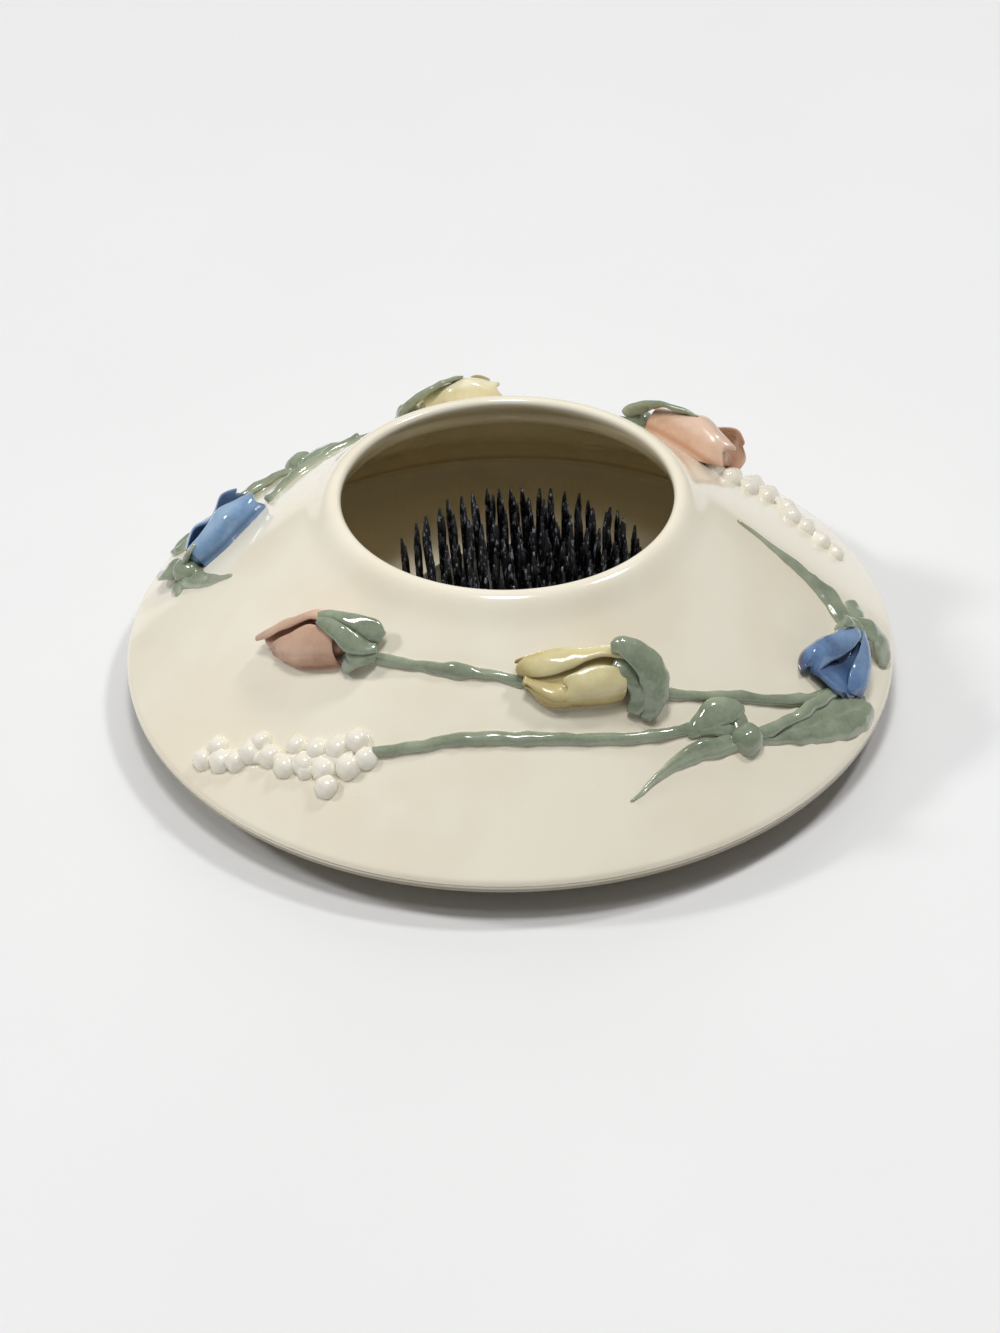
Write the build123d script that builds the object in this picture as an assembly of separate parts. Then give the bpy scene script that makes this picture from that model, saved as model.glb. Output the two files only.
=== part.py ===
"""Ikebana suiban: a low closed porcelain flower bowl with a wide brim, a small round mouth, two
applied flower sprays on its cone and a pin holder standing inside. Millimetres, +Z up, and the
origin is the middle of the foot ring on the table, with the front towards -Y."""
from build123d import *
from math import cos, hypot, pi, radians, sin
import os

# Thrown body: two halves that meet at a seam in the brim's upright edge
rim_radius = 90.0
rim_lift = 8.0
lower_band = 1.9
upper_band = 1.1
rim_edge_round = 0.8
seam_bevel = 0.3
crease_radius = 42.6
crease_rise = 39.6
mouth_radius = 38.2
lip_rise = 2.6
lip_inner_drop = 1.6
lip_crest_share = 0.42
shell_wall = 4.8
cavity_radius = 79.0
dome_straight_share = 0.66

# Lower bowl with its foot ring
floor_level = 6.4
floor_cove = 6.0
foot_radius = 62.0
foot_width = 5.0
foot_height = 2.0
foot_recess = 2.2
foot_round = 0.6
under_belly = 0.9

# Pin holder, set a little off the middle of the mouth
holder_radius = 30.0
holder_height = 7.4
holder_edge_bevel = 0.9
holder_seat_gap = 0.3
holder_offset_x = 3.4
holder_offset_y = 4.6
pin_bed = 1.0
pin_bed_radius = 29.1
pin_field_radius = 28.2
pin_pitch = 2.86
pin_width = 1.25
pin_root = 0.4
pin_shoulder = 11.0
pin_height = 17.6
pin_lean = 0.45
pin_lean_steps = (2.4, 3.7)
pin_grid_turn = 4.0

# Applied clay: one set of sizes for each kind of piece
stem_radius = 1.35
stem_raise = 0.3
leaf_half_width = 4.6
leaf_half_height = 1.9
sepal_half_width = 2.9
sepal_half_height = 1.25
knob_radius = 3.1
knob_back_share = 0.22
knob_up_share = 0.28
bud_length = 22.0
bud_radius = 6.4
petal_wall = 1.3
petal_edge = 0.55
bead_radius = 2.7
bead_raise = 0.7
point_radius = 0.3
thinning_power = 0.6
strip_sides = 8
sepal_sides = 6
heart_sides = 8
bead_sides = 7
petal_steps = 4

bead_latitudes = (-40.0, 32.0)

# The back spray is the front one turned about the bowl's axis
back_turn = 178.0

# Stations along a strip of clay: share of the way from crease to rim, azimuth, share of the
# bud's radius that it is raised by, and share of the strip's full width
front_left_stem_shares = (
    (0.270, -125.0, 0, 1.0), (0.250, -117.5, 0, 1.0), (0.242, -110.0, 0, 0.95), (0.238, -104.0, 0, 1.35),
    (0.240, -98.5, 0, 0.95), (0.252, -92.5, 0, 0.9), (0.272, -87.0, 0, 1.0),
)
front_right_stem_shares = (
    (0.370, -64.5, 0, 1.0), (0.430, -57.5, 0, 1.0), (0.500, -50.5, 0, 0.9), (0.565, -44.2, 0, 1.0),
    (0.648, -36.9, 0, 1.1), (0.720, -30.0, 0, 1.15), (0.755, -25.5, 0, 1.0),
)
front_blossom_stem_shares = (
    (0.600, -117.0, 0, 1.0), (0.534, -108.2, 0, 1.0), (0.487, -100.1, 0, 1.05), (0.477, -91.6, 0, 1.1),
    (0.492, -80.3, 0, 1.1), (0.530, -69.4, 0, 1.05), (0.559, -60.8, 0, 1.1), (0.592, -54.0, 0, 1.2),
    (0.650, -48.8, 0, 1.1),
)
back_left_stem_shares = (
    (0.262, -129.0, 0, 1.0), (0.248, -118.0, 0, 1.0), (0.228, -106.0, 0, 0.95), (0.212, -97.0, 0, 1.25),
    (0.200, -90.0, 0, 0.95), (0.190, -83.0, 0, 0.95),
)
back_right_stem_shares = (
    (0.365, -52.0, 0, 1.0), (0.378, -46.0, 0, 0.95), (0.382, -38.0, 0, 0.95), (0.386, -30.0, 0, 1.1),
    (0.398, -22.0, 0, 1.0),
)
back_blossom_stem_shares = (
    (0.350, -144.0, 0, 1.0), (0.440, -135.0, 0, 1.0), (0.476, -122.0, 0, 1.0), (0.480, -105.0, 0, 1.1),
    (0.482, -86.0, 0, 1.0), (0.500, -68.0, 0, 1.1), (0.530, -56.0, 0, 1.1), (0.590, -50.5, 0, 1.1),
    (0.650, -48.0, 0, 1.1),
)
knot_shares = (0.705, -47.0)
twist_leaf_shares = (
    (0.600, -56.5, 0, 0.20), (0.578, -53.0, 0.10, 0.60), (0.568, -49.5, 0.16, 0.80), (0.585, -46.3, 0.14, 0.66),
    (0.606, -44.2, 0.06, 0.26),
)
down_leaf_shares = (
    (0.690, -49.5, 0, 0.50), (0.660, -53.5, 0, 0.72), (0.655, -58.0, 0, 0.58), (0.680, -62.8, 0, 0.38),
    (0.715, -66.8, 0, 0.22), (0.752, -70.4, 0, 0.06),
)
low_leaf_shares = (
    (0.715, -45.5, 0, 0.34), (0.750, -41.5, 0, 0.50), (0.795, -36.5, 0, 0.78), (0.838, -31.5, 0, 1.08),
    (0.878, -27.0, 0, 1.22), (0.912, -23.4, 0, 1.12), (0.934, -21.0, 0, 0.62),
)
front_long_leaf_shares = (
    (0.800, -7.0, 0, 0.74), (0.760, -5.2, 0, 0.92), (0.700, -3.4, 0, 0.82), (0.590, -1.4, 0, 0.58),
    (0.420, 0.8, 0, 0.32), (0.226, 3.0, 0, 0.07),
)
back_long_leaf_shares = (
    (0.745, -10.5, 0, 0.56), (0.700, -6.5, 0, 0.74), (0.630, -2.5, 0, 0.54), (0.545, 1.0, 0, 0.30),
    (0.455, 4.0, 0, 0.06),
)
# Beads of the blossom clusters: cone share, azimuth and share of the bead's radius
front_bead_shares = (
    (0.918, -144.6, 0.95), (0.884, -141.6, 1.00), (0.850, -143.9, 0.90), (0.850, -139.0, 0.95),
    (0.795, -137.6, 1.00), (0.770, -133.9, 0.95), (0.740, -136.9, 0.85), (0.775, -130.2, 0.95),
    (0.735, -127.2, 1.00), (0.690, -130.2, 0.85), (0.672, -126.2, 0.95), (0.640, -122.6, 1.05),
    (0.728, -123.2, 1.05), (0.785, -126.0, 0.85), (0.780, -121.6, 1.00), (0.690, -119.2, 1.05),
    (0.640, -116.6, 0.95), (0.590, -119.6, 1.00),
)
front_bead_stalk_shares = (
    (0.900, -143.0, 0, 1.2), (0.830, -139.6, 0, 1.5), (0.760, -132.5, 0, 1.6), (0.705, -126.5, 0, 1.6),
    (0.650, -119.5, 0, 1.4),
)
back_bead_shares = (
    (0.330, -147.0, 0.90), (0.395, -149.3, 0.95), (0.455, -146.6, 0.95), (0.480, -150.6, 0.85),
    (0.530, -148.0, 0.95), (0.590, -145.8, 1.00), (0.600, -150.0, 0.90), (0.650, -143.6, 0.95),
    (0.660, -147.7, 1.00), (0.700, -151.4, 0.95), (0.670, -155.4, 0.95), (0.725, -157.6, 0.90),
    (0.770, -160.8, 0.90), (0.830, -162.6, 0.80),
)
back_bead_stalk_shares = (
    (0.340, -147.5, 0, 1.2), (0.480, -148.6, 0, 1.4), (0.620, -147.4, 0, 1.6), (0.690, -153.5, 0, 1.5),
    (0.750, -159.0, 0, 1.3), (0.825, -162.4, 0, 1.0),
)
# Buds: cone share and azimuth of the base, turn of the axis towards the rim, length, width, the
# form of the petals and that of the sepals
front_bud_shares = {
    "pink": (0.300, -130.5, 156.0, 1.00, 1.00, "pink", "pink"),
    "yellow": (0.345, -66.8, -169.0, 1.00, 1.00, "yellow", "yellow"),
    "blue": (0.755, -13.6, 176.0, 1.00, 1.00, "blue", "blue"),
}
back_bud_shares = {
    "pink": (0.276, -127.5, 176.0, 0.98, 1.00, "ruffled", "low"),
    "yellow": (0.262, -67.8, -174.0, 0.82, 0.86, "ruffled", "low"),
    "blue": (0.655, -9.4, -134.0, 0.86, 0.82, "ruffled", "blue"),
}
# Petals: sections at shares of the bud's length, each a curve from its root on the cone past a
# bend to its lip, placed across the bud and above the cone as shares of its radius
petal_shares = {
    "pink": (
        (
            (0.00, (0.22, -0.20), (0.50, 1.14), (-0.60, 1.04)),
            (0.25, (0.28, -0.20), (0.60, 1.24), (-0.86, 1.20)),
            (0.50, (0.25, -0.20), (0.52, 1.00), (-0.66, 1.02)),
            (0.66, (0.06, -0.05), (0.22, 0.68), (-0.50, 0.76)),
            (0.77, (-0.14, 0.20), (-0.12, 0.48), (-0.40, 0.52)),
        ),
        (
            (-0.02, (-1.12, -0.20), (-1.54, 1.10), (-0.76, 1.10)),
            (0.25, (-1.34, -0.20), (-1.74, 1.16), (-1.06, 1.30)),
            (0.55, (-1.28, -0.20), (-1.50, 0.94), (-0.84, 1.02)),
            (0.82, (-1.10, -0.10), (-1.24, 0.60), (-0.68, 0.58)),
            (1.00, (-0.84, 0.04), (-0.92, 0.24), (-0.68, 0.27)),
        ),
    ),
    "yellow": (
        (
            (-0.02, (0.36, -0.20), (0.74, 1.22), (-0.44, 1.12)),
            (0.20, (0.42, -0.20), (0.84, 1.36), (-0.56, 1.20)),
            (0.40, (0.42, -0.20), (0.82, 1.28), (-0.52, 1.08)),
            (0.54, (0.38, -0.10), (0.74, 1.02), (-0.40, 0.98)),
            (0.61, (0.30, 0.06), (0.54, 0.70), (-0.28, 0.80)),
        ),
        (
            (-0.04, (-1.06, -0.20), (-1.42, 1.20), (-0.76, 1.24)),
            (0.25, (-1.22, -0.20), (-1.56, 1.22), (-0.90, 1.26)),
            (0.55, (-1.32, -0.20), (-1.70, 1.06), (-0.60, 0.96)),
            (0.84, (-1.36, -0.15), (-1.62, 0.82), (-0.50, 0.50)),
            (1.00, (-1.22, -0.02), (-1.34, 0.42), (-0.80, 0.26)),
        ),
        (
            (0.30, (0.22, -0.20), (0.50, 0.85), (-0.40, 0.70)),
            (0.60, (0.40, -0.20), (0.78, 0.99), (-0.34, 0.46)),
            (0.80, (0.18, -0.15), (0.60, 0.90), (-0.52, 0.30)),
            (0.96, (-0.34, -0.02), (-0.06, 0.58), (-0.86, 0.24)),
        ),
    ),
    "blue": (
        (
            (-0.10, (-0.44, -0.20), (-0.57, 1.12), (0.22, 0.92)),
            (0.15, (-0.94, -0.20), (-1.23, 1.07), (0.04, 1.02)),
            (0.40, (-1.50, -0.20), (-1.77, 1.11), (-0.32, 0.78)),
            (0.62, (-1.76, -0.20), (-1.98, 1.03), (-0.84, 0.46)),
            (0.80, (-1.60, -0.10), (-1.72, 0.51), (-1.12, 0.20)),
        ),
        (
            (-0.12, (0.60, -0.20), (0.80, 1.06), (0.12, 0.96)),
            (0.15, (0.96, -0.20), (1.19, 1.21), (0.18, 1.06)),
            (0.38, (1.10, -0.20), (1.44, 1.26), (0.10, 0.88)),
            (0.58, (1.10, -0.20), (1.42, 1.01), (0.14, 0.58)),
            (0.70, (0.90, -0.10), (1.10, 0.60), (0.34, 0.34)),
        ),
        (
            (0.24, (-0.90, -0.12), (0.00, 0.51), (0.90, -0.10)),
            (0.60, (-1.30, -0.06), (-0.05, 0.38), (1.00, -0.06)),
            (0.84, (-1.30, 0.10), (-0.28, 0.39), (0.46, 0.08)),
        ),
    ),
    "ruffled": (
        (
            (0.00, (0.70, -0.20), (0.95, 1.06), (0.12, 0.96)),
            (0.25, (1.05, -0.20), (1.42, 1.34), (0.20, 1.36)),
            (0.50, (1.00, -0.20), (1.31, 1.15), (0.30, 1.10)),
            (0.78, (1.10, -0.20), (1.56, 1.19), (0.50, 1.42)),
            (1.00, (0.74, 0.02), (1.04, 0.97), (0.45, 1.08)),
        ),
        (
            (-0.03, (-0.70, -0.20), (-0.94, 1.09), (-0.14, 0.98)),
            (0.30, (-1.10, -0.20), (-1.51, 1.21), (-0.36, 1.22)),
            (0.55, (-1.05, -0.20), (-1.57, 1.33), (-0.30, 1.38)),
            (0.82, (-1.05, -0.20), (-1.38, 1.11), (-0.35, 1.02)),
            (1.02, (-0.80, -0.02), (-1.11, 0.78), (-0.34, 0.78)),
        ),
    ),
}
# Hearts of the buds: place along the bud, across it and above the cone, half width and half height
heart_shares = {
    "pink": (
        (-0.06, -0.46, 0.44, 0.42, 0.34), (0.22, -0.54, 0.34, 0.84, 0.50),
        (0.60, -0.56, 0.22, 0.72, 0.34), (0.92, -0.80, 0.08, 0.28, 0.14),
    ),
    "yellow": (
        (-0.08, -0.36, 0.46, 0.50, 0.36), (0.22, -0.42, 0.36, 0.88, 0.54),
        (0.62, -0.48, 0.22, 0.92, 0.36), (0.90, -0.76, 0.08, 0.62, 0.18),
    ),
    "blue": (
        (-0.16, 0.10, 0.44, 0.36, 0.32), (0.16, 0.02, 0.26, 0.96, 0.44),
        (0.44, -0.12, 0.06, 1.24, 0.24),
    ),
    "ruffled": (
        (-0.08, 0.00, 0.44, 0.50, 0.34), (0.25, 0.00, 0.36, 1.04, 0.56),
        (0.62, 0.00, 0.26, 1.02, 0.44), (0.92, 0.00, 0.16, 0.74, 0.30),
    ),
}
# Sepals: places along the bud's axis as a share of its length, across it and above the cone as
# shares of its radius, and share of the sepal's width
sepal_shares = {
    "pink": (
        ((-0.46, -0.66, 0.30, 0.60), (-0.38, -0.92, 0.78, 0.80), (-0.17, -1.20, 1.20, 0.76), (0.04, -1.24, 1.36, 0.58),
         (0.21, -1.16, 1.40, 0.26)),
        ((-0.42, -0.28, 0.40, 0.55), (-0.30, -0.12, 0.84, 0.85), (-0.12, -0.36, 1.24, 0.88), (0.04, -0.70, 1.38, 0.62),
         (0.18, -0.94, 1.44, 0.26)),
        ((-0.40, 0.05, 0.28, 0.6), (-0.26, 0.14, 0.46, 1.0), (-0.12, 0.34, 0.42, 0.9), (-0.04, 0.60, 0.16, 0.4)),
    ),
    "yellow": (
        ((0.13, -1.04, 1.40, 0.4), (0.02, -1.06, 1.52, 0.9), (-0.14, -0.74, 1.44, 1.15), (-0.28, -0.20, 1.14, 1.2),
         (-0.33, 0.40, 0.80, 1.15), (-0.30, 0.90, 0.44, 0.95), (-0.24, 1.26, 0.12, 0.45)),
        ((-0.16, -0.10, 0.50, 0.7), (-0.18, 0.40, 0.44, 0.8), (-0.24, 0.80, 0.16, 0.3)),
    ),
    "low": (
        ((-0.34, -0.40, 0.34, 0.6), (-0.14, -0.90, 0.78, 0.8), (0.12, -1.12, 1.12, 0.72), (0.36, -1.00, 1.26, 0.50),
         (0.54, -0.84, 1.28, 0.20)),
        ((-0.32, 0.34, 0.30, 0.6), (-0.14, 0.80, 0.50, 0.8), (0.05, 1.18, 0.40, 0.60), (0.20, 1.40, 0.14, 0.20)),
    ),
    "blue": (
        ((-0.16, -0.10, 0.62, 0.5), (-0.08, -0.44, 0.94, 0.55), (0.06, -0.62, 1.08, 0.2)),
        ((-0.22, 0.16, 0.42, 0.7), (-0.31, 0.62, 0.56, 0.85), (-0.32, 1.20, 0.54, 0.9), (-0.27, 1.70, 0.30, 0.65),
         (-0.21, 1.88, 0.10, 0.25)),
    ),
}

# What follows from the named sizes
rim_top = rim_lift + lower_band + upper_band
seam_level = rim_lift + lower_band
lip_top = rim_top + crease_rise + lip_rise
cone_run = rim_radius - crease_radius
cone_slant = hypot(cone_run, crease_rise)
cone_cos = cone_run / cone_slant
cone_sin = crease_rise / cone_slant
floor_radius = cavity_radius - floor_cove
holder_level = floor_level + holder_seat_gap
bed_level = holder_level + holder_height


def cone_level(radius):
    """Height of the cone's outer surface at a radius."""
    return rim_top + (rim_radius - radius) * crease_rise / cone_run


def turned(*edges):
    """Solid turned about the bowl's axis from a closed chain of edges drawn as radius and height."""
    return revolve(make_face(Plane.XZ * Curve(list(edges))), Axis.Z)


def outer_edges(start):
    """Brim, cone and rolled lip, from a point below the brim's edge to the throat."""
    crease = (crease_radius, cone_level(crease_radius))
    crest = (mouth_radius + lip_crest_share * (crease_radius - mouth_radius), lip_top)
    throat = (mouth_radius, lip_top - lip_inner_drop)
    brim = (rim_radius - rim_edge_round, cone_level(rim_radius - rim_edge_round))
    return [
        Line(start, (rim_radius, rim_top - rim_edge_round)),
        Line((rim_radius, rim_top - rim_edge_round), brim),
        Line(brim, crease),
        ThreePointArc(crease, crest, throat),
    ]


def make_trim_core():
    """The whole outside of the upper body filled to its axis, which trims the applied clay."""
    throat = (mouth_radius, lip_top - lip_inner_drop)
    return turned(
        Line((0, 0), (rim_radius, 0)),
        *outer_edges((rim_radius, 0)),
        Line(throat, (0, throat[1])),
        Line((0, throat[1]), (0, 0)),
    )


def make_upper_shell():
    """Cone with its rolled lip, thickening down to the flat ring that sits on the lower bowl."""
    throat = (mouth_radius, lip_top - lip_inner_drop)
    neck = (mouth_radius, cone_level(mouth_radius) - shell_wall / cone_cos)
    bend_radius = mouth_radius + dome_straight_share * (cavity_radius - mouth_radius)
    bend = (bend_radius, cone_level(bend_radius) - shell_wall / cone_cos)
    seat = (cavity_radius, seam_level)
    corner = (rim_radius - seam_bevel, seam_level)
    edge = (rim_radius, seam_level + seam_bevel)
    return turned(
        *outer_edges(edge),
        Line(throat, neck),
        Line(neck, bend),
        TangentArc(bend, seat, tangent=(cone_cos, -cone_sin)),
        Line(seat, corner),
        Line(corner, edge),
    )


def make_lower_bowl():
    """Shallow bowl: flat floor, coved corner, brim and turned foot ring."""
    floor_edge = (floor_radius, floor_level)
    seat = (cavity_radius, seam_level)
    corner = (rim_radius - seam_bevel, seam_level)
    edge = (rim_radius, seam_level - seam_bevel)
    drip = (rim_radius, rim_lift + rim_edge_round)
    under = (rim_radius - rim_edge_round, rim_lift)
    foot_top = (foot_radius, foot_height)
    belly = ((under[0] + foot_top[0]) / 2, (under[1] + foot_top[1]) / 2 - under_belly)
    inner_radius = foot_radius - foot_width
    rest = [
        under, None, foot_top, (foot_radius, foot_round), (foot_radius - foot_round, 0),
        (inner_radius + foot_round, 0), (inner_radius, foot_round), (inner_radius, foot_recess), (0, foot_recess),
    ]
    foot = [Line(a, b) for a, b in zip(rest[2:], rest[3:])]
    return turned(
        Line((0, floor_level), floor_edge),
        TangentArc(floor_edge, seat, tangent=(1, 0)),
        Line(seat, corner),
        Line(corner, edge),
        Line(edge, drip),
        Line(drip, under),
        ThreePointArc(under, belly, foot_top),
        *foot,
        Line((0, foot_recess), (0, floor_level)),
    )


def make_holder_base():
    """Cast weight of the pin holder, bevelled round its top edge."""
    base = Pos(holder_offset_x, holder_offset_y, holder_level) * Cylinder(
        holder_radius, holder_height, align=(Align.CENTER, Align.CENTER, Align.MIN)
    )
    return chamfer(base.edges().group_by(Axis.Z)[-1], holder_edge_bevel)


def pin_places():
    """Square grid of pins inside the round field, turned a little on the holder."""
    reach = int(pin_field_radius / pin_pitch) + 1
    turn = radians(pin_grid_turn)
    for row in range(-reach, reach + 1):
        for column in range(-reach, reach + 1):
            x, y = column * pin_pitch, row * pin_pitch
            if hypot(x, y) <= pin_field_radius:
                yield x * cos(turn) - y * sin(turn), x * sin(turn) + y * cos(turn)


def make_pin(index, x, y):
    """Four-sided needle with a long point, leaning slightly in a direction of its own."""
    lean_x = pin_lean * sin(pin_lean_steps[0] * index)
    lean_y = pin_lean * cos(pin_lean_steps[1] * index)
    sections = []
    for level in (-pin_root, pin_shoulder):
        share = max(level, 0) / pin_height
        sections.append(Wire.make_rect(pin_width, pin_width, Plane((x + lean_x * share, y + lean_y * share, level))))
    return Solid.make_loft([*sections, Vertex(x + lean_x, y + lean_y, pin_height)], True)


def make_holder_pins():
    """Field of pins fused to the thin bed that they are set in."""
    bed = Cylinder(pin_bed_radius, pin_bed, align=(Align.CENTER, Align.CENTER, Align.MAX))
    pins = [make_pin(index, x, y) for index, (x, y) in enumerate(pin_places())]
    print("pins", len(pins))
    field = bed.fuse(*pins)
    return Pos(holder_offset_x, holder_offset_y, bed_level + pin_bed) * field


def cone_frame(share, azimuth):
    """Point on the cone, with its directions round the bowl, down the slope and out of the clay."""
    radius = crease_radius + share * cone_run
    angle = radians(azimuth)
    point = Vector(radius * cos(angle), radius * sin(angle), cone_level(radius))
    around = Vector(-sin(angle), cos(angle), 0)
    down = Vector(cos(angle) * cone_cos, sin(angle) * cone_cos, -cone_sin)
    return point, around, down, around.cross(down) * -1


def ring(point, along, normal, half_width, half_height, sides):
    """Corners of a polygon standing square to a path, flattened along the normal."""
    across = normal.cross(along).normalized()
    rise = along.cross(across)
    turns = [2 * pi * index / sides for index in range(sides)]
    return [point + across * (half_width * cos(turn)) + rise * (half_height * sin(turn)) for turn in turns]


def faceted(rings):
    """Closed solid through rings of an even number of corners, with flat three-cornered faces."""
    count = len(rings[0])
    corners = []
    for here, ahead in zip(rings, rings[1:]):
        for index in range(count):
            after = (index + 1) % count
            corners.append((here[index], here[after], ahead[after]))
            corners.append((here[index], ahead[after], ahead[index]))
    for end in (rings[0], rings[-1]):
        for index in range(count // 2 - 1):
            facing = count - 1 - index
            corners.append((end[index], end[index + 1], end[facing - 1]))
            corners.append((end[index], end[facing - 1], end[facing]))
    return Solid(Shell([Face(Wire.make_polygon(list(three))) for three in corners]))


def loft_strip(points, normals, half_widths, half_heights, sides):
    """Strip of clay through many-sided rings that stand square to its path."""
    rings = []
    for index, (point, normal) in enumerate(zip(points, normals)):
        ahead = points[min(index + 1, len(points) - 1)]
        behind = points[max(index - 1, 0)]
        along = (ahead - behind).normalized()
        rings.append(ring(point, along, normal, half_widths[index], half_heights[index], sides))
    return faceted(rings)


def make_ball(middle, radius):
    """Small many-sided ball of clay."""
    sections = []
    for latitude in bead_latitudes:
        reach = radius * cos(radians(latitude))
        level = middle + Vector(0, 0, radius * sin(radians(latitude)))
        corners = ring(level, Vector(0, 0, 1), Vector(0, 1, 0), reach, reach, bead_sides)
        sections.append(Wire.make_polygon(corners))
    bottom = Vertex(*(middle - Vector(0, 0, radius)))
    top = Vertex(*(middle + Vector(0, 0, radius)))
    return Solid.make_loft([bottom, *sections, top], True)


def cone_strip(shares, half_width, half_height, raised=0.0):
    """Strip laid on the cone through stations of place, raise and width."""
    points, normals, widths, heights = [], [], [], []
    for share, azimuth, lift_share, width_share in shares:
        point, around, down, normal = cone_frame(share, azimuth)
        points.append(point + normal * (raised + lift_share * bud_radius))
        normals.append(normal)
        widths.append(max(half_width * width_share, point_radius))
        heights.append(max(half_height * min(1, width_share ** thinning_power), point_radius))
    return loft_strip(points, normals, widths, heights, strip_sides)


def largest(shape):
    """The main solid that is left after trimming."""
    return max(shape.solids(), key=lambda solid: solid.volume)


def trimmed(shape, *others):
    """A piece of clay cut back to the surfaces that it is pressed against."""
    for other in others:
        shape = largest(shape - other)
    return shape


def petal_section(place, root, bend, lip, wall, length, radius):
    """Corners of a petal's section: a curve from root to lip and back at one wall inside it."""
    curve = []
    for index in range(petal_steps + 1):
        step = index / petal_steps
        parts = ((root, (1 - step) ** 2), (bend, 2 * step * (1 - step)), (lip, step ** 2))
        curve.append(tuple(sum(radius * point[axis] * part for point, part in parts) for axis in (0, 1)))
    inward = 1 if root[0] > lip[0] else -1
    inner = []
    for index, (across, up) in enumerate(curve):
        behind, ahead = curve[max(index - 1, 0)], curve[min(index + 1, petal_steps)]
        run, climb = ahead[0] - behind[0], ahead[1] - behind[1]
        reach = inward * wall / hypot(run, climb)
        inner.append((across - climb * reach, up + run * reach))
    return [Vector(length * place, across, up) for across, up in curve + inner[::-1]]


def make_petal(stations, length, radius):
    """Sheet of clay standing on the cone, thinner towards the bud's mouth."""
    first, last = stations[0][0], stations[-1][0]
    sections = []
    for place, root, bend, lip in stations:
        share = (place - first) / (last - first)
        wall = petal_wall * (1 - share) + petal_edge * share
        sections.append(petal_section(place, root, bend, lip, wall, length, radius))
    return faceted(sections)


def make_bud(base_share, azimuth, turn, length_share, width_share, form):
    """Petals folded round a solid heart, lying on the cone, with the bud's frame."""
    length = bud_length * length_share
    radius = bud_radius * width_share
    point, around, down, normal = cone_frame(base_share, azimuth)
    axis = around * cos(radians(turn)) + down * sin(radians(turn))
    rings = []
    for place, across, up, half_width, half_height in heart_shares[form]:
        middle = Vector(length * place, radius * across, radius * up)
        forward, upward = Vector(1, 0, 0), Vector(0, 0, 1)
        rings.append(ring(middle, forward, upward, radius * half_width, radius * half_height, heart_sides))
    petals = [make_petal(stations, length, radius) for stations in petal_shares[form]]
    frame = Plane(point, x_dir=axis, z_dir=normal)
    return frame.location * faceted(rings).fuse(*petals), (point, axis, normal, length, radius)


def make_calyx(bud_frame, strips):
    """Knob at the bud's base with its sepals."""
    point, axis, normal, length, radius = bud_frame
    side = normal.cross(axis)
    knob = make_ball(point - axis * (knob_back_share * length) + normal * (knob_up_share * radius), knob_radius)
    parts = []
    for strip in strips:
        points = [point + axis * (a * length) + side * (b * radius) + normal * (c * radius) for a, b, c, w in strip]
        widths = [sepal_half_width * w for a, b, c, w in strip]
        heights = [max(sepal_half_height * min(1, w ** thinning_power), point_radius) for a, b, c, w in strip]
        parts.append(loft_strip(points, [normal] * len(points), widths, heights, sepal_sides))
    return knob.fuse(*parts)


def make_beads(shares, stalk_shares):
    """Cluster of small round florets pressed onto the flat end of their stalk."""
    stalk = cone_strip(stalk_shares, stem_radius, stem_radius, stem_raise)
    beads = []
    for share, azimuth, size_share in shares:
        point, around, down, normal = cone_frame(share, azimuth)
        beads.append(make_ball(point + normal * bead_raise, bead_radius * size_share))
    return stalk.fuse(*beads)


def make_spray(prefix, turn, buds, strips, beads, core):
    """All the applied pieces of one spray, each trimmed by what it is pressed against."""
    left_stem, right_stem, blossom_stem, long_leaf = strips
    pieces = {}
    calyxes = {}
    for colour, shares in buds.items():
        bud, frame = make_bud(*shares[:-1])
        pieces[colour + "_bud"] = trimmed(bud, core)
        calyxes[colour] = trimmed(make_calyx(frame, sepal_shares[shares[-1]]), core, pieces[colour + "_bud"])
        pieces[colour + "_calyx"] = calyxes[colour]
    point, around, down, normal = cone_frame(*knot_shares)
    pieces["leaf_knot"] = trimmed(make_ball(point + normal * stem_raise, knob_radius), core)
    pieces["blossoms"] = trimmed(make_beads(*beads), core, pieces["pink_bud"], pieces["pink_calyx"])
    stems = {
        "left_stem": (left_stem, ("pink_bud", "pink_calyx", "yellow_bud")),
        "right_stem": (right_stem, ("yellow_bud", "yellow_calyx", "blue_bud", "blue_calyx")),
        "blossom_stem": (blossom_stem, ("blossoms", "leaf_knot", "pink_bud", "pink_calyx")),
    }
    for name, (shares, neighbours) in stems.items():
        stem = cone_strip(shares, stem_radius, stem_radius, stem_raise)
        pieces[name] = trimmed(stem, core, *(pieces[other] for other in neighbours))
    leaves = {
        "twist_leaf": (twist_leaf_shares, ("blossom_stem", "leaf_knot", "right_stem")),
        "down_leaf": (down_leaf_shares, ("leaf_knot", "blossom_stem", "twist_leaf")),
        "low_leaf": (low_leaf_shares, ("leaf_knot", "right_stem", "blue_bud", "blue_calyx")),
        "long_leaf": (long_leaf, ("blue_calyx", "blue_bud", "right_stem", "low_leaf")),
    }
    for name, (shares, neighbours) in leaves.items():
        leaf = cone_strip(shares, leaf_half_width, leaf_half_height)
        pieces[name] = trimmed(leaf, core, *(pieces[other] for other in neighbours))
    return {prefix + "_" + name: Rot(0, 0, turn) * piece for name, piece in pieces.items()}


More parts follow.
